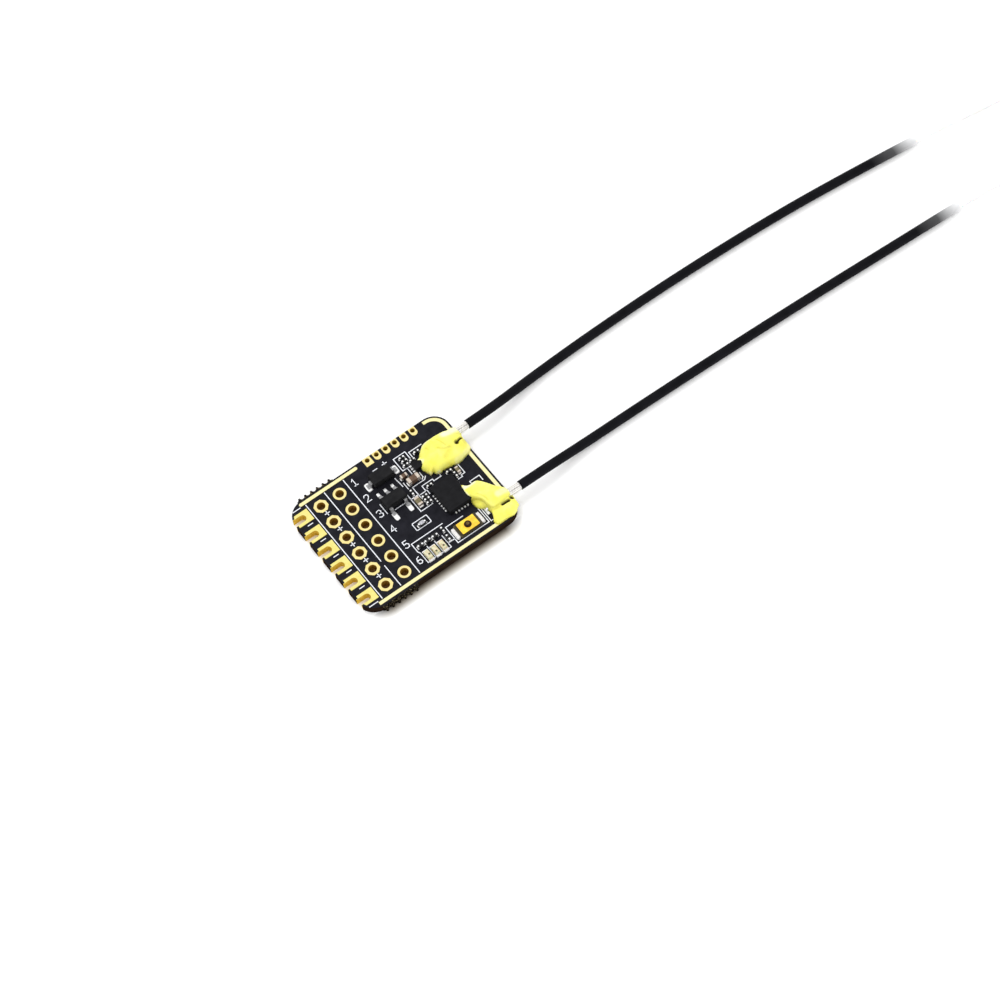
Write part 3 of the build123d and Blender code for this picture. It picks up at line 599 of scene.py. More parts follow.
# Small rounded edges on moulded bodies and on chip parts
eased_edges = {
    0.02: ["led_terminals"],
    0.03: ["radio_chip", "switch_chip", "regulator_leads", "diode_leads", "brown_capacitor_bodies",
           "tan_capacitor_bodies", "resistor_end_caps", "tiny_part_end_caps", "button_base",
           "button_terminals"],
    0.04: ["capacitor_end_caps", "led_lenses"],
    0.06: ["regulator_body", "diode_body"],
}
for width, names in eased_edges.items():
    for name in names:
        bevel = nodes[name].modifiers.new("eased_edges", "BEVEL")
        bevel.width = width * MM
        bevel.segments = 2
        bevel.limit_method = "ANGLE"


def mesh_piece(name, vertices, faces, material, smooth=True):
    # A new mesh from corners in millimetres, riding on the board.
    mesh = bpy.data.meshes.new(name)
    mesh.from_pydata([Vector(v) * MM for v in vertices], [], faces)
    mesh.validate()
    mesh.materials.append(material)
    if smooth:
        mesh.shade_smooth()
    else:
        mesh.shade_flat()
    piece = bpy.data.objects.new(name, mesh)
    bpy.context.collection.objects.link(piece)
    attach(piece, "board")
    return piece


def ring_faces(first, rings, sides, faces):
    # Faces between rings of corners that follow each other from a first corner on.
    for ring in range(rings - 1):
        for side in range(sides):
            a = first + ring * sides + side
            b = first + ring * sides + (side + 1) % sides
            faces.append((a, b, b + sides, a + sides))


# Printed marks. Their coordinates are counted from the first octagonal pad's centre
PRINT_X = antenna_end_x - 17.5
PRINT_Y = 6.35
PRINT_WIDTH = 0.105
PRINT_THICKNESS = 0.012
MITRE_LIMIT = 0.5
print_lines = [
    # Long lines between the pad rows, and short ones by the corners
    [(-1.27, 1.2), (-1.27, -13.85)],
    [(1.27, 1.2), (1.27, -9.95)],
    [(1.27, -10.7), (1.27, -13.8)],
    [(3.85, 1.2), (3.85, -13.8)],
    [(-2.95, 1.3), (-1.95, 1.3)],
    [(-3.0, -13.9), (-1.9, -13.9)],
    # Polarity marks by the diode
    [(7.15, 0.05), (7.7, 0.05)],
    [(8.42, 0.05), (8.98, 0.05)],
    [(8.7, -0.23), (8.7, 0.33)],
    # Boxes round the small parts by the first glue blob
    [(11.4, -1.2), (11.4, -0.15), (9.8, -0.15), (9.8, -2.05), (10.9, -2.05)],
    [(11.7, -1.6), (11.7, -0.5), (13.4, -0.5)],
    [(10.4, -2.1), (10.4, -3.0)],
    # Brackets round the regulator and the brown capacitors
    [(8.55, -2.3), (8.65, -3.7)],
    [(8.95, -3.4), (8.95, -4.35)],
    [(11.15, -3.4), (11.15, -4.1), (10.9, -4.3)],
    [(5.3, -4.0), (5.3, -5.45)],
    # Boxes to the left of the radio chip
    [(8.4, -5.0), (8.4, -7.6), (10.0, -7.6), (10.0, -7.25)],
    [(8.4, -5.65), (9.45, -5.65)],
    [(9.42, -4.55), (9.42, -6.1)],
    [(9.4, -4.5), (11.1, -4.5), (11.4, -4.2)],
    [(10.4, -5.0), (11.8, -5.0), (11.8, -5.3), (12.8, -5.3), (12.8, -5.1)],
    [(10.35, -5.0), (10.35, -5.8)],
    [(9.65, -5.8), (10.5, -5.8), (10.5, -6.35)],
    # Corner marks to the right of the radio chip
    [(15.15, -5.2), (15.15, -6.6), (14.65, -6.6), (14.65, -6.85), (14.1, -6.85)],
    [(14.9, -8.3), (14.9, -7.9), (16.2, -7.9), (16.2, -8.6)],
    # Box round the larger resistor
    [(6.72, -8.3), (8.53, -8.3), (8.6, -8.37), (8.6, -9.28), (8.53, -9.35), (6.72, -9.35), (6.65, -9.28),
     (6.65, -8.37), (6.72, -8.3)],
    # Boxes round the lamps
    [(9.35, -10.35), (5.15, -10.35), (5.15, -11.6), (5.3, -11.9), (5.3, -13.4), (8.45, -13.4), (8.45, -11.6)],
    [(6.37, -11.65), (6.37, -13.4)],
    [(7.4, -11.65), (7.4, -13.4)],
    [(8.45, -12.8), (9.35, -12.8)],
    # Box round the push button
    [(11.7, -11.0), (9.35, -11.0), (9.35, -13.45), (13.6, -13.45), (13.6, -11.2)],
    [(13.85, -11.2), (13.85, -13.5), (14.1, -13.5)],
]
# Minus and plus marks between the pads
HEADER_PITCH = 2.54
FIRST_MARK_Y = -1.17
PLUS_X = 0.05
PLUS_REACH = 0.27
for row in range(5):
    mark_y = FIRST_MARK_Y - HEADER_PITCH * row
    print_lines.append([(-2.55, mark_y), (-1.95, mark_y)])
    print_lines.append([(PLUS_X - PLUS_REACH, mark_y), (PLUS_X + PLUS_REACH, mark_y)])
    print_lines.append([(PLUS_X, mark_y - PLUS_REACH), (PLUS_X, mark_y + PLUS_REACH)])

# A dotted line under the regulator's body
DOT_START = 6.3
DOT_PITCH = 0.3
DOT_LENGTH = 0.14
DOT_Y = -5.6
for dot in range(5):
    dot_x = DOT_START + DOT_PITCH * dot
    print_lines.append([(dot_x, DOT_Y), (dot_x + DOT_LENGTH, DOT_Y)])

# Digits 1 to 6 as strokes in a box one unit high
digit_strokes = [
    [[(0.1, 0.75), (0.32, 1.0), (0.32, 0.0)], [(0.1, 0.0), (0.54, 0.0)]],
    [[(0.0, 0.78), (0.12, 0.96), (0.44, 0.98), (0.58, 0.78), (0.5, 0.52), (0.0, 0.0), (0.6, 0.0)]],
    [[(0.0, 0.86), (0.2, 1.0), (0.44, 0.98), (0.56, 0.76), (0.44, 0.54), (0.24, 0.52)],
     [(0.44, 0.54), (0.6, 0.32), (0.5, 0.06), (0.2, 0.0), (0.0, 0.14)]],
    [[(0.44, 0.0), (0.44, 1.0), (0.0, 0.32), (0.62, 0.32)]],
    [[(0.56, 1.0), (0.08, 1.0), (0.06, 0.56), (0.4, 0.6), (0.6, 0.38), (0.5, 0.06), (0.2, 0.0), (0.0, 0.12)]],
    [[(0.5, 0.98), (0.2, 0.86), (0.02, 0.4), (0.12, 0.06), (0.4, 0.0), (0.6, 0.2), (0.5, 0.5), (0.2, 0.54),
      (0.03, 0.34)]],
]
DIGIT_HEIGHT = 0.95
DIGIT_X = 4.38
digit_middles = [0.2, -2.4, -4.95, -7.45, -10.0, -12.55]
for strokes, middle in zip(digit_strokes, digit_middles):
    for stroke in strokes:
        print_lines.append(
            [(DIGIT_X + DIGIT_HEIGHT * x, middle + DIGIT_HEIGHT * (y - 0.5)) for x, y in stroke]
        )


def ribbon(points, width):
    # Left and right edge points of a mitred ribbon along a line of points.
    line = [Vector(point) for point in points]
    closed = (line[0] - line[-1]).length < 1e-6
    edges = []
    for i, point in enumerate(line):
        before = line[i - 1] if i else (line[-2] if closed else None)
        after = line[i + 1] if i + 1 < len(line) else (line[1] if closed else None)
        directions = []
        if before is not None:
            directions.append((point - before).normalized())
        if after is not None:
            directions.append((after - point).normalized())
        middle = sum(directions, Vector((0.0, 0.0))).normalized()
        side = Vector((-middle.y, middle.x))
        reach = width / 2 / max(MITRE_LIMIT, middle.dot(directions[0]))
        shift = Vector((0.0, 0.0))
        if before is None:
            shift = -middle * width / 2
        if after is None:
            shift = middle * width / 2
        edges.append((point + shift + side * reach, point + shift - side * reach))
    return edges


def printed_marks():
    # Every printed line as one thin raised ribbon.
    vertices = []
    faces = []
    low = board_top
    high = board_top + PRINT_THICKNESS
    for points in print_lines:
        edges = ribbon(points, PRINT_WIDTH)
        first = len(vertices)
        for left, right in edges:
            for corner, z in ((left, high), (right, high), (right, low), (left, low)):
                vertices.append((corner.x + PRINT_X, corner.y + PRINT_Y, z))
        for i in range(len(edges) - 1):
            a = first + 4 * i
            b = a + 4
            for k in range(4):
                faces.append((a + k, b + k, b + (k + 1) % 4, a + (k + 1) % 4))
        last = first + 4 * (len(edges) - 1)
        faces.append((first, first + 1, first + 2, first + 3))
        faces.append((last + 3, last + 2, last + 1, last))
    mesh_piece("printed_marks", vertices, faces, PRINT, smooth=False)


printed_marks()

# Solder drawn up into soft cushions, one for each pad of the CAD solder
CUSHION_RINGS = 7
CUSHION_SIDES = 28
SQUARENESS = 5.0
CUSHION_FULLNESS = 4.0
CUSHION_WOBBLE = 0.1
CUSHION_CROWN = 0.95
CUSHION_GRAIN = 3.0
THIN_SOLDER = 0.16


def ripple(x, y, fineness, seed):
    # Smooth noise over a flat place.
    return noise.noise(Vector((x * fineness, y * fineness, seed)))


def cushion(low, high, vertices, faces, seed):
    # A low pillow over one pad: rounded square outline, full sides and an uneven crown.
    middle = (low + high) / 2
    half = (high - low) / 2
    first = len(vertices)
    height = high.z - low.z
    for ring in range(CUSHION_RINGS):
        share = 1.0 - ring / CUSHION_RINGS
        rise = (1.0 - share**CUSHION_FULLNESS) ** 0.5
        for side in range(CUSHION_SIDES):
            angle = 2 * math.pi * side / CUSHION_SIDES
            c = math.cos(angle)
            s = math.sin(angle)
            square = (abs(c) ** SQUARENESS + abs(s) ** SQUARENESS) ** (-1.0 / SQUARENESS)
            x = middle.x + half.x * share * square * c
            y = middle.y + half.y * share * square * s
            wobble = 1.0 - CUSHION_WOBBLE + CUSHION_WOBBLE * ripple(x, y, CUSHION_GRAIN, seed)
            vertices.append((x, y, low.z + height * rise * wobble))
    vertices.append((middle.x, middle.y, low.z + CUSHION_CROWN * height))
    top = len(vertices) - 1
    ring_faces(first, CUSHION_RINGS, CUSHION_SIDES, faces)
    inner = first + (CUSHION_RINGS - 1) * CUSHION_SIDES
    for side in range(CUSHION_SIDES):
        faces.append((inner + side, inner + (side + 1) % CUSHION_SIDES, top))
    faces.append([first + side for side in reversed(range(CUSHION_SIDES))])


def solder_cushions(node):
    # The regulator's three upper pads are thinly soldered, so theirs stay back from the edge.
    vertices = []
    faces = []
    for seed, (low, high) in enumerate(loose_boxes(node)):
        if node == "regulator_solder" and low.y > regulator_y:
            back = (high - low) * THIN_SOLDER
            low = Vector((low.x + back.x, low.y + back.y, low.z))
            high = Vector((high.x - back.x, high.y - back.y, high.z))
        cushion(low, high, vertices, faces, seed)
    piece = mesh_piece(node + "_cushions", vertices, faces, SOLDER)
    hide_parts(node)


for node in ("regulator_solder", "diode_solder", "button_solder", "chip_part_solder"):
    solder_cushions(node)

# The dark dies that show through the lenses, counted from each lens's middle
LED_DIE_REACH = 0.14
LED_DIE_SINK = 0.02
LED_DIE_RISE = 0.015
led_die_places = [(0.1, -0.085), (-0.03, -0.27), (0.02, -0.18)]


def spot(x, y, reach, low_z, high_z, vertices, faces, seed):
    # A small cushion centred on one place.
    low = Vector((x - reach, y - reach, low_z))
    high = Vector((x + reach, y + reach, high_z))
    cushion(low, high, vertices, faces, seed)


def led_dies():
    vertices = []
    faces = []
    lenses = sorted(loose_boxes("led_lenses"), key=lambda box: box[0].x)
    for seed, ((low, high), (x, y)) in enumerate(zip(lenses, led_die_places)):
        middle = (low + high) / 2
        spot(
            middle.x + x, middle.y + y, LED_DIE_REACH,
            high.z - LED_DIE_SINK, high.z + LED_DIE_RISE, vertices, faces, seed,
        )
    mesh_piece("led_dies", vertices, faces, LED_DIE)


led_dies()

# Small bright solder beads at the radio chip's leads, and bright beads on the tiny parts' and resistors' ends
# that stand in for their glints as painted highlights
END_BEAD = 0.12
END_BEAD_RISE = 0.03
LEAD_BEAD = 0.1
LEAD_BEAD_RISE = 0.04
BEAD_SINK = 0.05
LONGEST_BEADED = 0.7


def bead_row(name, node, reach, rise):
    # One bead on top of every separate piece of a node, long pieces apart.
    vertices = []
    faces = []
    for seed, (low, high) in enumerate(loose_boxes(node)):
        size = high - low
        if max(size.x, size.y) > LONGEST_BEADED:
            continue
        middle = (low + high) / 2
        spot(middle.x, middle.y, reach, high.z - BEAD_SINK, high.z + rise, vertices, faces, seed)
    mesh_piece(name, vertices, faces, SOLDER)


bead_row("tiny_part_glint_beads", "tiny_part_end_caps", END_BEAD, END_BEAD_RISE)
bead_row("resistor_glint_beads", "resistor_end_caps", END_BEAD, END_BEAD_RISE)
bead_row("radio_lead_beads", "radio_chip_leads", LEAD_BEAD, LEAD_BEAD_RISE)

# Glue blobs. Outlines are counted from the board's antenna end and each antenna's own line
GLUE_SPOKES = 240
GLUE_RINGS = 44
GLUE_RING_SPACING = 0.75
GLUE_FOOT = -0.02
GLUE_RIPPLE = 0.05
GLUE_RIPPLE_GRAIN = 4.0
PIT_DEPTH = 0.25

# Neighbours averaged on each side for the inner rings' softer outline, and how fast it sets in
GLUE_SOFTNESS = 14
GLUE_SOFTENING = 8.0

# Swells of the surface: height, fineness and an offset for the blob's seed
glue_swells = [(0.07, 1.1, 7.0), (0.02, 3.5, 9.0)]

# Outlines: the sleeve round the braid, and the mounds of each blob
sleeve_outline = [(-2.3, 0.0), (-1.6, -0.62), (0.06, -0.58), (0.12, 0.0), (0.06, 0.58), (-1.6, 0.62)]
glue_1_outline = [
    (-6.02, -1.3), (-5.6, -0.86), (-5.52, -0.4), (-5.4, 0.0), (-5.2, 0.3), (-4.92, 0.56), (-4.62, 0.8),
    (-4.05, 1.2), (-2.5, 1.2), (-1.0, 1.06), (0.0, 0.45), (0.12, -0.6), (0.08, -1.45), (0.07, -2.4),
    (-0.3, -2.8), (-0.79, -3.02), (-1.84, -3.3), (-2.45, -3.27), (-3.35, -3.08), (-4.15, -3.0),
    (-4.46, -3.1), (-4.97, -2.96), (-5.08, -2.78), (-5.16, -2.54), (-5.59, -2.64), (-5.68, -2.4),
    (-5.86, -1.88),
]
glue_1_tooth = [
    (-5.88, -0.3), (-5.4, -0.1), (-4.9, 0.0), (-4.6, -0.6), (-4.9, -1.3), (-5.66, -1.3), (-5.6, -0.85),
    (-5.54, -0.5),
]
glue_2_outline = [
    (-3.98, 3.46), (-3.3, 3.4), (-2.7, 3.42), (-1.84, 3.38), (-1.6, 2.95), (-1.5, 2.52), (-1.14, 2.08),
    (-0.84, 1.58), (-0.42, 1.02), (0.02, 0.6), (0.12, 0.0), (0.06, -0.9), (-0.02, -1.66), (-0.4, -1.96),
    (-0.76, -2.26), (-1.2, -2.4), (-1.88, -2.36), (-2.55, -2.32), (-3.3, -2.3), (-3.56, -1.76),
    (-3.38, -1.46), (-3.06, -0.74), (-3.26, 0.16), (-3.7, 0.54), (-3.98, 0.92), (-4.07, 1.58),
    (-4.02, 2.04), (-3.98, 2.7),
]
glue_2_dome = [
    (-3.9, 3.5), (-3.35, 3.44), (-2.75, 3.74), (-2.05, 3.62), (-1.6, 2.9), (-1.14, 2.1), (-0.84, 1.6),
    (-0.42, 1.04), (0.0, 0.6), (0.1, 0.0), (0.04, -0.52), (-0.6, -0.64), (-1.3, -0.68), (-2.0, -0.8),
    (-2.5, -0.86), (-2.95, -0.6), (-3.16, 0.0), (-3.22, 0.6), (-3.42, 1.15), (-3.87, 1.72), (-4.1, 2.2),
    (-4.1, 2.8),
]
glue_2_horn = [
    (-3.97, 4.2), (-3.76, 3.9), (-3.5, 3.66), (-3.1, 3.5), (-2.5, 3.3), (-2.6, 2.4), (-3.3, 1.9),
    (-3.95, 2.0), (-4.16, 2.6), (-4.1, 3.3),
]

# What marks each blob. Every mark is (line, width, amount): forms raise or lower the surface in
# millimetres; pits sink it and get black painted shade, also as a painted shadow under the braid;
# creases get olive painted shade; rims turn pale as painted highlights
glue_1_marks = {
    "forms": [
        ([(-3.4, -0.2), (-0.8, -0.6)], 0.9, 0.1),
        ([(-2.72, 0.14), (-2.49, -0.46), (-2.34, -1.1)], 0.12, -0.07),
        ([(-3.25, -0.86), (-2.77, -1.34), (-2.09, -1.55)], 0.14, -0.08),
        ([(-2.1, -1.74), (-2.73, -2.06), (-3.14, -2.22)], 0.3, -0.1),
        ([(-4.36, 0.07), (-4.21, -0.3)], 0.16, -0.1),
        ([(-5.1, -1.5), (-4.3, -1.7)], 0.3, 0.08),
    ],
    # Pits: black painted shade in a pit, and a painted shadow line from it to the board's edge beneath the
    # braid
    "shaded_pits": [
        ([(-1.12, -1.5), (-1.08, -1.46)], 0.27, 1.0),
        ([(-1.12, -1.5), (-0.3, -1.16)], 0.15, 1.0),
    ],
    "crease_shades": [
        ([(-2.72, 0.14), (-2.49, -0.46), (-2.34, -1.1)], 0.13, 0.45),
        ([(-3.25, -0.86), (-2.77, -1.34), (-2.09, -1.55)], 0.2, 0.35),
        ([(-2.1, -1.74), (-2.73, -2.06), (-3.14, -2.22)], 0.35, 0.3),
        ([(-4.36, 0.07), (-4.21, -0.3)], 0.16, 0.35),
        ([(-0.9, -2.2), (-0.2, -1.9)], 0.4, 0.2),
        ([(-0.3, -1.9), (0.0, -1.2)], 0.25, 0.35),
    ],
    "rim_highlights": [
        ([(-5.9, -0.3), (-5.5, -0.8)], 0.3, 0.7),
        ([(-4.6, 0.85), (-2.5, 1.2), (-1.0, 1.06)], 0.28, 0.7),
        ([(-5.9, -2.3), (-5.2, -3.0), (-4.6, -3.1)], 0.22, 0.5),
        ([(-1.6, 0.3), (-0.3, 0.1)], 0.5, 0.8),
        ([(-2.3, -3.2), (-1.3, -3.1), (-0.3, -2.75), (0.08, -2.2)], 0.3, 0.3),
    ],
}
glue_2_marks = {
    "forms": [
        ([(-2.6, 1.9), (-1.6, 1.0), (-0.4, 0.25)], 0.7, 0.08),
        ([(-3.22, 1.78), (-2.95, 1.38), (-2.74, 0.8), (-2.7, 0.35)], 0.12, -0.08),
        ([(-2.4, -1.5), (-0.8, -1.4)], 0.5, 0.12),
    ],
    # Pits: black painted shade in a pit and along the underside of the braid
    "shaded_pits": [
        ([(-0.33, -0.68), (-0.27, -0.7)], 0.24, 1.0),
        ([(-0.8, -0.88), (-1.14, -0.84), (-1.62, -0.84)], 0.2, 1.0),
    ],
    "crease_shades": [
        ([(-3.87, 1.76), (-3.61, 1.3), (-3.29, 0.96), (-3.17, 0.53), (-3.13, 0.0), (-3.02, -0.43),
          (-2.75, -0.73), (-2.45, -0.86), (-2.0, -0.84)], 0.24, 0.5),
        ([(-3.22, 1.78), (-2.95, 1.38), (-2.74, 0.8), (-2.7, 0.35)], 0.12, 0.35),
    ],
    "rim_highlights": [
        ([(-4.0, 3.5), (-3.3, 3.4), (-2.6, 3.4)], 0.3, 0.9),
        ([(-4.1, 3.4), (-4.05, 2.2)], 0.16, 0.7),
        ([(-1.4, 0.3), (-0.3, 0.2)], 0.4, 0.5),
    ],
}

# The mounds that make each blob: outline, centre, height and steepness of the sides
glue_1_layers = [
    (glue_1_outline, (-2.9, -1.0), 1.36, 4.0),
    (sleeve_outline, (-1.1, 0.0), 1.16, 5.0),
    (glue_1_tooth, (-5.1, -0.65), 0.74, 10.0),
]
glue_2_layers = [
    (glue_2_outline, (-1.85, 0.2), 0.86, 5.0),
    (glue_2_dome, (-2.1, 1.1), 1.32, 7.0),
    (glue_2_horn, (-3.4, 2.9), 1.12, 7.0),
]


def smooth_loop(points, count):
    # Evenly numbered points on a closed Catmull-Rom curve through the given points.
    loop = [Vector((x, y)) for x, y in points]
    result = []
    for i in range(count):
        at = i / count * len(loop)
        k = int(at)
        t = at - k
        a, b, c, d = (loop[(k + j) % len(loop)] for j in (-1, 0, 1, 2))
        square_term = (2 * a - 5 * b + 4 * c - d) * t**2
        cube_term = (3 * b - a - 3 * c + d) * t**3
        result.append(0.5 * (2 * b + (c - a) * t + square_term + cube_term))
    return result


def softened(loop, reach):
    # Each point of a closed loop averaged with its neighbours on both sides.
    result = []
    for i in range(len(loop)):
        near = [loop[(i + k) % len(loop)] for k in range(-reach, reach + 1)]
        result.append(sum(near, Vector((0.0, 0.0))) / len(near))
    return result


def distance_to_line(point, line):
    nearest = math.inf
    for start, end in zip(line, line[1:]):
        a = Vector(start)
        b = Vector(end)
        along = max(0.0, min(1.0, (point - a).dot(b - a) / (b - a).length_squared))
        nearest = min(nearest, (point - a - along * (b - a)).length)
    return nearest


def strongest(point, marks):
    # How strongly the nearest of several marks is felt at a point.
    felt = 0.0
    for line, width, amount in marks:
        felt = max(felt, amount * math.exp(-((distance_to_line(point, line) / width) ** 4)))
    return felt


def glue_lift(flat, profile, height, marks, seed):
    # How high the glue stands at a place, before any pit sinks it.
    lift = height * profile
    for line, width, amount in marks["forms"]:
        lift += amount * profile * math.exp(-((distance_to_line(flat, line) / width) ** 2))
    for amount, fineness, offset in glue_swells:
        lift += amount * profile * ripple(flat.x, flat.y, fineness, seed + offset)
    return lift


def glue_layer(layer, marks, line_y, seed, vertices, faces, tints):
    # One mound: steep sides, a soft crown, ridges and creases, and its tints at each corner.
    outline, centre, height, steepness = layer
    centre = Vector(centre)
    first = len(vertices)
    sharp = smooth_loop(outline, GLUE_SPOKES)
    soft = softened(sharp, GLUE_SOFTNESS)
    for ring in range(GLUE_RINGS):
        share = (1.0 - ring / GLUE_RINGS) ** GLUE_RING_SPACING
        profile = (1.0 - share**steepness) ** 0.5
        for i, edge in enumerate(sharp):
            swing = ripple(edge.x, edge.y, GLUE_RIPPLE_GRAIN, seed) - 0.5
            outer = edge + (edge - centre).normalized() * (GLUE_RIPPLE * swing)
            outer = soft[i].lerp(outer, share**GLUE_SOFTENING)
            flat = centre + share * (outer - centre)
            # Painted shade in pits and under the braid, painted shade in creases and painted highlights at
            # rims
            pit_shade = strongest(flat, marks["shaded_pits"])
            lift = glue_lift(flat, profile, height, marks, seed) - PIT_DEPTH * pit_shade
            vertices.append((antenna_end_x + flat.x, line_y + flat.y, board_top + max(GLUE_FOOT, lift)))
            tints.append((pit_shade, strongest(flat, marks["crease_shades"]), strongest(flat, marks["rim_highlights"]), 1.0))
    ring_faces(first, GLUE_RINGS, GLUE_SPOKES, faces)
    inner = first + (GLUE_RINGS - 1) * GLUE_SPOKES
    faces.append([inner + i for i in range(GLUE_SPOKES)])
    faces.append([first + i for i in reversed(range(GLUE_SPOKES))])


def glue_blob(name, node, layers, marks, line_y, seed):
    vertices = []
    faces = []
    tints = []
    for layer in layers:
        glue_layer(layer, marks, line_y, seed, vertices, faces, tints)
    piece = mesh_piece(name, vertices, faces, GLUE)
    colours = piece.data.color_attributes.new("tints", "FLOAT_COLOR", "POINT")
    for item, tint in zip(colours.data, tints):
        item.color = tint
    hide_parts(node)


glue_blob("glue_blob_1", "glue_1", glue_1_layers, glue_1_marks, ANTENNA_1_Y, seed=3.0)
glue_blob("glue_blob_2", "glue_2", glue_2_layers, glue_2_marks, ANTENNA_2_Y, seed=11.0)

# Braids: two sets of wire strands wound against each other, passing over and under
STRANDS = 10
STRAND_TURNS = 1.6
STRAND_WIDTH = 0.14
STRAND_THICKNESS = 0.05
STRAND_WEAVE = 0.025
STRAND_STEPS = 90
STRAND_SIDES = 6
STRAND_SPREAD = (0.85, 1.1)

# Loose strands that bow away from the braid on its lower side
LOOSE_STRANDS = 3
LOOSE_STEPS = 24
LOOSE_WIDTH = 0.05
LOOSE_START = (0.1, 0.4)
LOOSE_SHORTFALL = (0.0, 0.15)
LOOSE_BOW = (0.06, 0.2)
LOOSE_GAP = 0.02
LOOSE_TWIST = 0.5
LOOSE_FIRST_ANGLE = -120
LOOSE_ANGLE_STEP = 35


def tube(points, across, thickness, vertices, faces, centre_line=None):
    # A tube with an oval section along points; its flat side faces away from the centre line.
    first = len(vertices)
    for i, point in enumerate(points):
        ahead = points[min(i + 1, len(points) - 1)] - points[max(i - 1, 0)]
        ahead.normalize()
        if centre_line is None:
            outward = ahead.cross(Vector((0.0, 1.0, 0.0))).normalized()
        else:
            outward = (point - centre_line(point)).normalized()
        side = ahead.cross(outward).normalized()
        for k in range(STRAND_SIDES):
            angle = 2 * math.pi * k / STRAND_SIDES
            vertices.append(
                point + side * (across / 2 * math.cos(angle)) + outward * (thickness / 2 * math.sin(angle))
            )
    ring_faces(first, len(points), STRAND_SIDES, faces)
    last = first + (len(points) - 1) * STRAND_SIDES
    faces.append([first + k for k in reversed(range(STRAND_SIDES))])
    faces.append([last + k for k in range(STRAND_SIDES)])


def braid(name, node, number):
    low, high = [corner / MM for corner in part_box(node)]
    middle_y = (low.y + high.y) / 2
    middle_z = (low.z + high.z) / 2
    radius = (high.z - low.z) / 2
    rng = random.Random(number)
    vertices = []
    faces = []

    def around(x, reach, angle):
        return Vector((x, middle_y + reach * math.cos(angle), middle_z + reach * math.sin(angle)))

    def centre_line(point):
        return Vector((point.x, middle_y, middle_z))

    def wound_strand(start, direction):
        points = []
        for i in range(STRAND_STEPS + 1):
            t = i / STRAND_STEPS
            angle = start + direction * 2 * math.pi * STRAND_TURNS * t
            weave = math.sin(angle * STRANDS / 2 * direction + direction * math.pi / 4)
            x = low.x + (high.x - low.x) * t
            points.append(around(x, radius + STRAND_WEAVE * weave * direction, angle))
        return points

    def loose_strand(swing):
        start_x = antenna_end_x + rng.uniform(*LOOSE_START)
        end_x = high.x - rng.uniform(*LOOSE_SHORTFALL)
        bow = rng.uniform(*LOOSE_BOW)
        points = []
        for i in range(LOOSE_STEPS + 1):
            t = i / LOOSE_STEPS
            reach = radius + LOOSE_GAP + bow * math.sin(math.pi * t)
            points.append(around(start_x + (end_x - start_x) * t, reach, swing + LOOSE_TWIST * (t - 0.5)))
        return points

    for direction in (1, -1):
        for strand in range(STRANDS):
            points = wound_strand(2 * math.pi * strand / STRANDS, direction)
            width = STRAND_WIDTH * rng.uniform(*STRAND_SPREAD)
            tube(points, width, STRAND_THICKNESS, vertices, faces, centre_line)
    for k in range(LOOSE_STRANDS):
        points = loose_strand(math.radians(LOOSE_FIRST_ANGLE + LOOSE_ANGLE_STEP * k))
        tube(points, LOOSE_WIDTH, LOOSE_WIDTH, vertices, faces)
    mesh_piece(name, vertices, faces, BRAID)


for number in (1, 2):
    braid(f"antenna_{number}_strands", f"antenna_{number}_braid", number)

# Antenna cords
CORD_STEPS = 24
CORD_ROUNDNESS = 8


def free_cord(name, node, route, line_y, diameter, material):
    # A smooth round cord whose control points are the route's own.
    points = [((braid_end_x + x) * MM, (line_y + y) * MM, z * MM) for x, y, z in route]
    curve = bpy.data.curves.new(name, "CURVE")
    curve.dimensions = "3D"
    spline = curve.splines.new("NURBS")
    spline.points.add(len(points) - 1)
    for control, point in zip(spline.points, points):
        control.co = (*point, 1.0)
    spline.order_u = 3
    spline.use_endpoint_u = True
    spline.resolution_u = CORD_STEPS
    curve.bevel_depth = diameter / 2 * MM
    curve.bevel_resolution = CORD_ROUNDNESS
    curve.use_fill_caps = True
    curve.materials.append(material)
    piece = bpy.data.objects.new(name, curve)
    bpy.context.collection.objects.link(piece)
    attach(piece, "board")
    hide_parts(node)


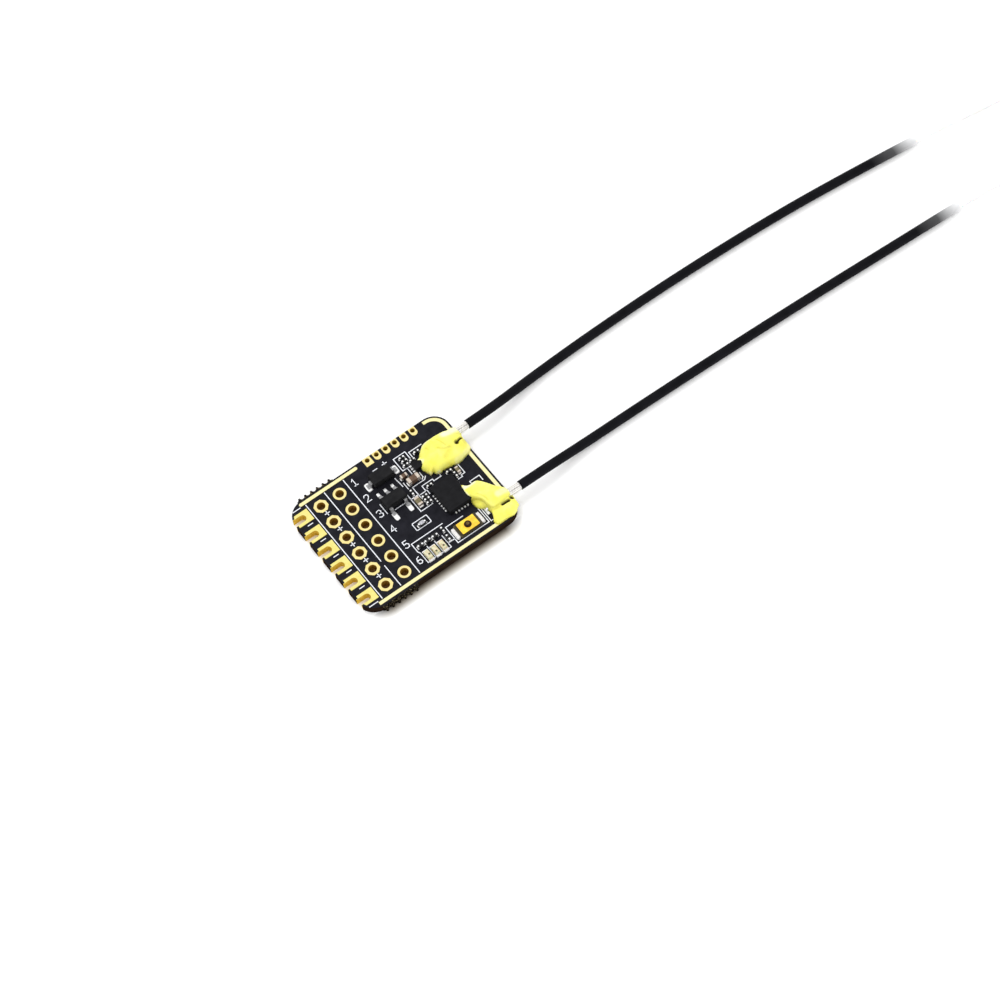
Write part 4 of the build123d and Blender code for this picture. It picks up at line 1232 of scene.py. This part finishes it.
antennas = [
    (1, ANTENNA_1_Y, jacket_1_route, JACKET_1_LENGTH, JACKET_1, tip_1_route),
    (2, ANTENNA_2_Y, jacket_2_route, JACKET_2_LENGTH, JACKET_2, tip_2_route),
]
for number, line_y, jacket_route, jacket_length, jacket_finish, tip_route in antennas:
    free_cord(
        f"jacket_{number}", f"antenna_{number}_jacket", jacket_route, line_y,
        JACKET_DIAMETER, jacket_finish,
    )
    free_cord(
        f"tip_{number}", f"antenna_{number}_tip", tip_route, line_y,
        TIP_DIAMETER, INSULATION,
    )

# Floor, light and camera, in metres
FLOOR_SIZE = 1.2
WORLD_STRENGTH = 1.1
CAMERA_PLACE = (-0.083005, -0.191959, 0.361303)
CAMERA_TURN = (0.51556, 0.094572, -0.62474)
CAMERA_LENS = 134.467

bpy.ops.mesh.primitive_plane_add(size=FLOOR_SIZE)
floor = bpy.context.object
floor.name = "floor"
floor.data.materials.append(FLOOR)


def soft_light(name, place, size, power):
    # A square area light that faces the middle of the board and isn't mirrored in the gold.
    light = bpy.data.lights.new(name, "AREA")
    light.energy = power
    light.size = size
    lamp = bpy.data.objects.new(name, light)
    lamp.location = place
    lamp.rotation_euler = (-Vector(place)).to_track_quat("-Z", "Y").to_euler()
    lamp.visible_glossy = False
    bpy.context.collection.objects.link(lamp)


soft_light("key_light", place=(-0.03, 0.32, 0.42), size=0.3, power=1.1)
soft_light("fill_light", place=(0.3, -0.3, 0.45), size=0.5, power=0.6)

world = bpy.data.worlds.new("studio")
world.use_nodes = True
world.node_tree.nodes["Background"].inputs["Color"].default_value = (1.0, 1.0, 1.0, 1.0)
world.node_tree.nodes["Background"].inputs["Strength"].default_value = WORLD_STRENGTH
bpy.context.scene.world = world
bpy.context.scene.view_settings.view_transform = "Standard"

camera_data = bpy.data.cameras.new("camera")
camera_data.lens = CAMERA_LENS
camera_data.sensor_width = 36.0
camera_data.clip_start = 0.02
camera = bpy.data.objects.new("camera", camera_data)
camera.location = CAMERA_PLACE
camera.rotation_euler = CAMERA_TURN
bpy.context.collection.objects.link(camera)
bpy.context.scene.camera = camera
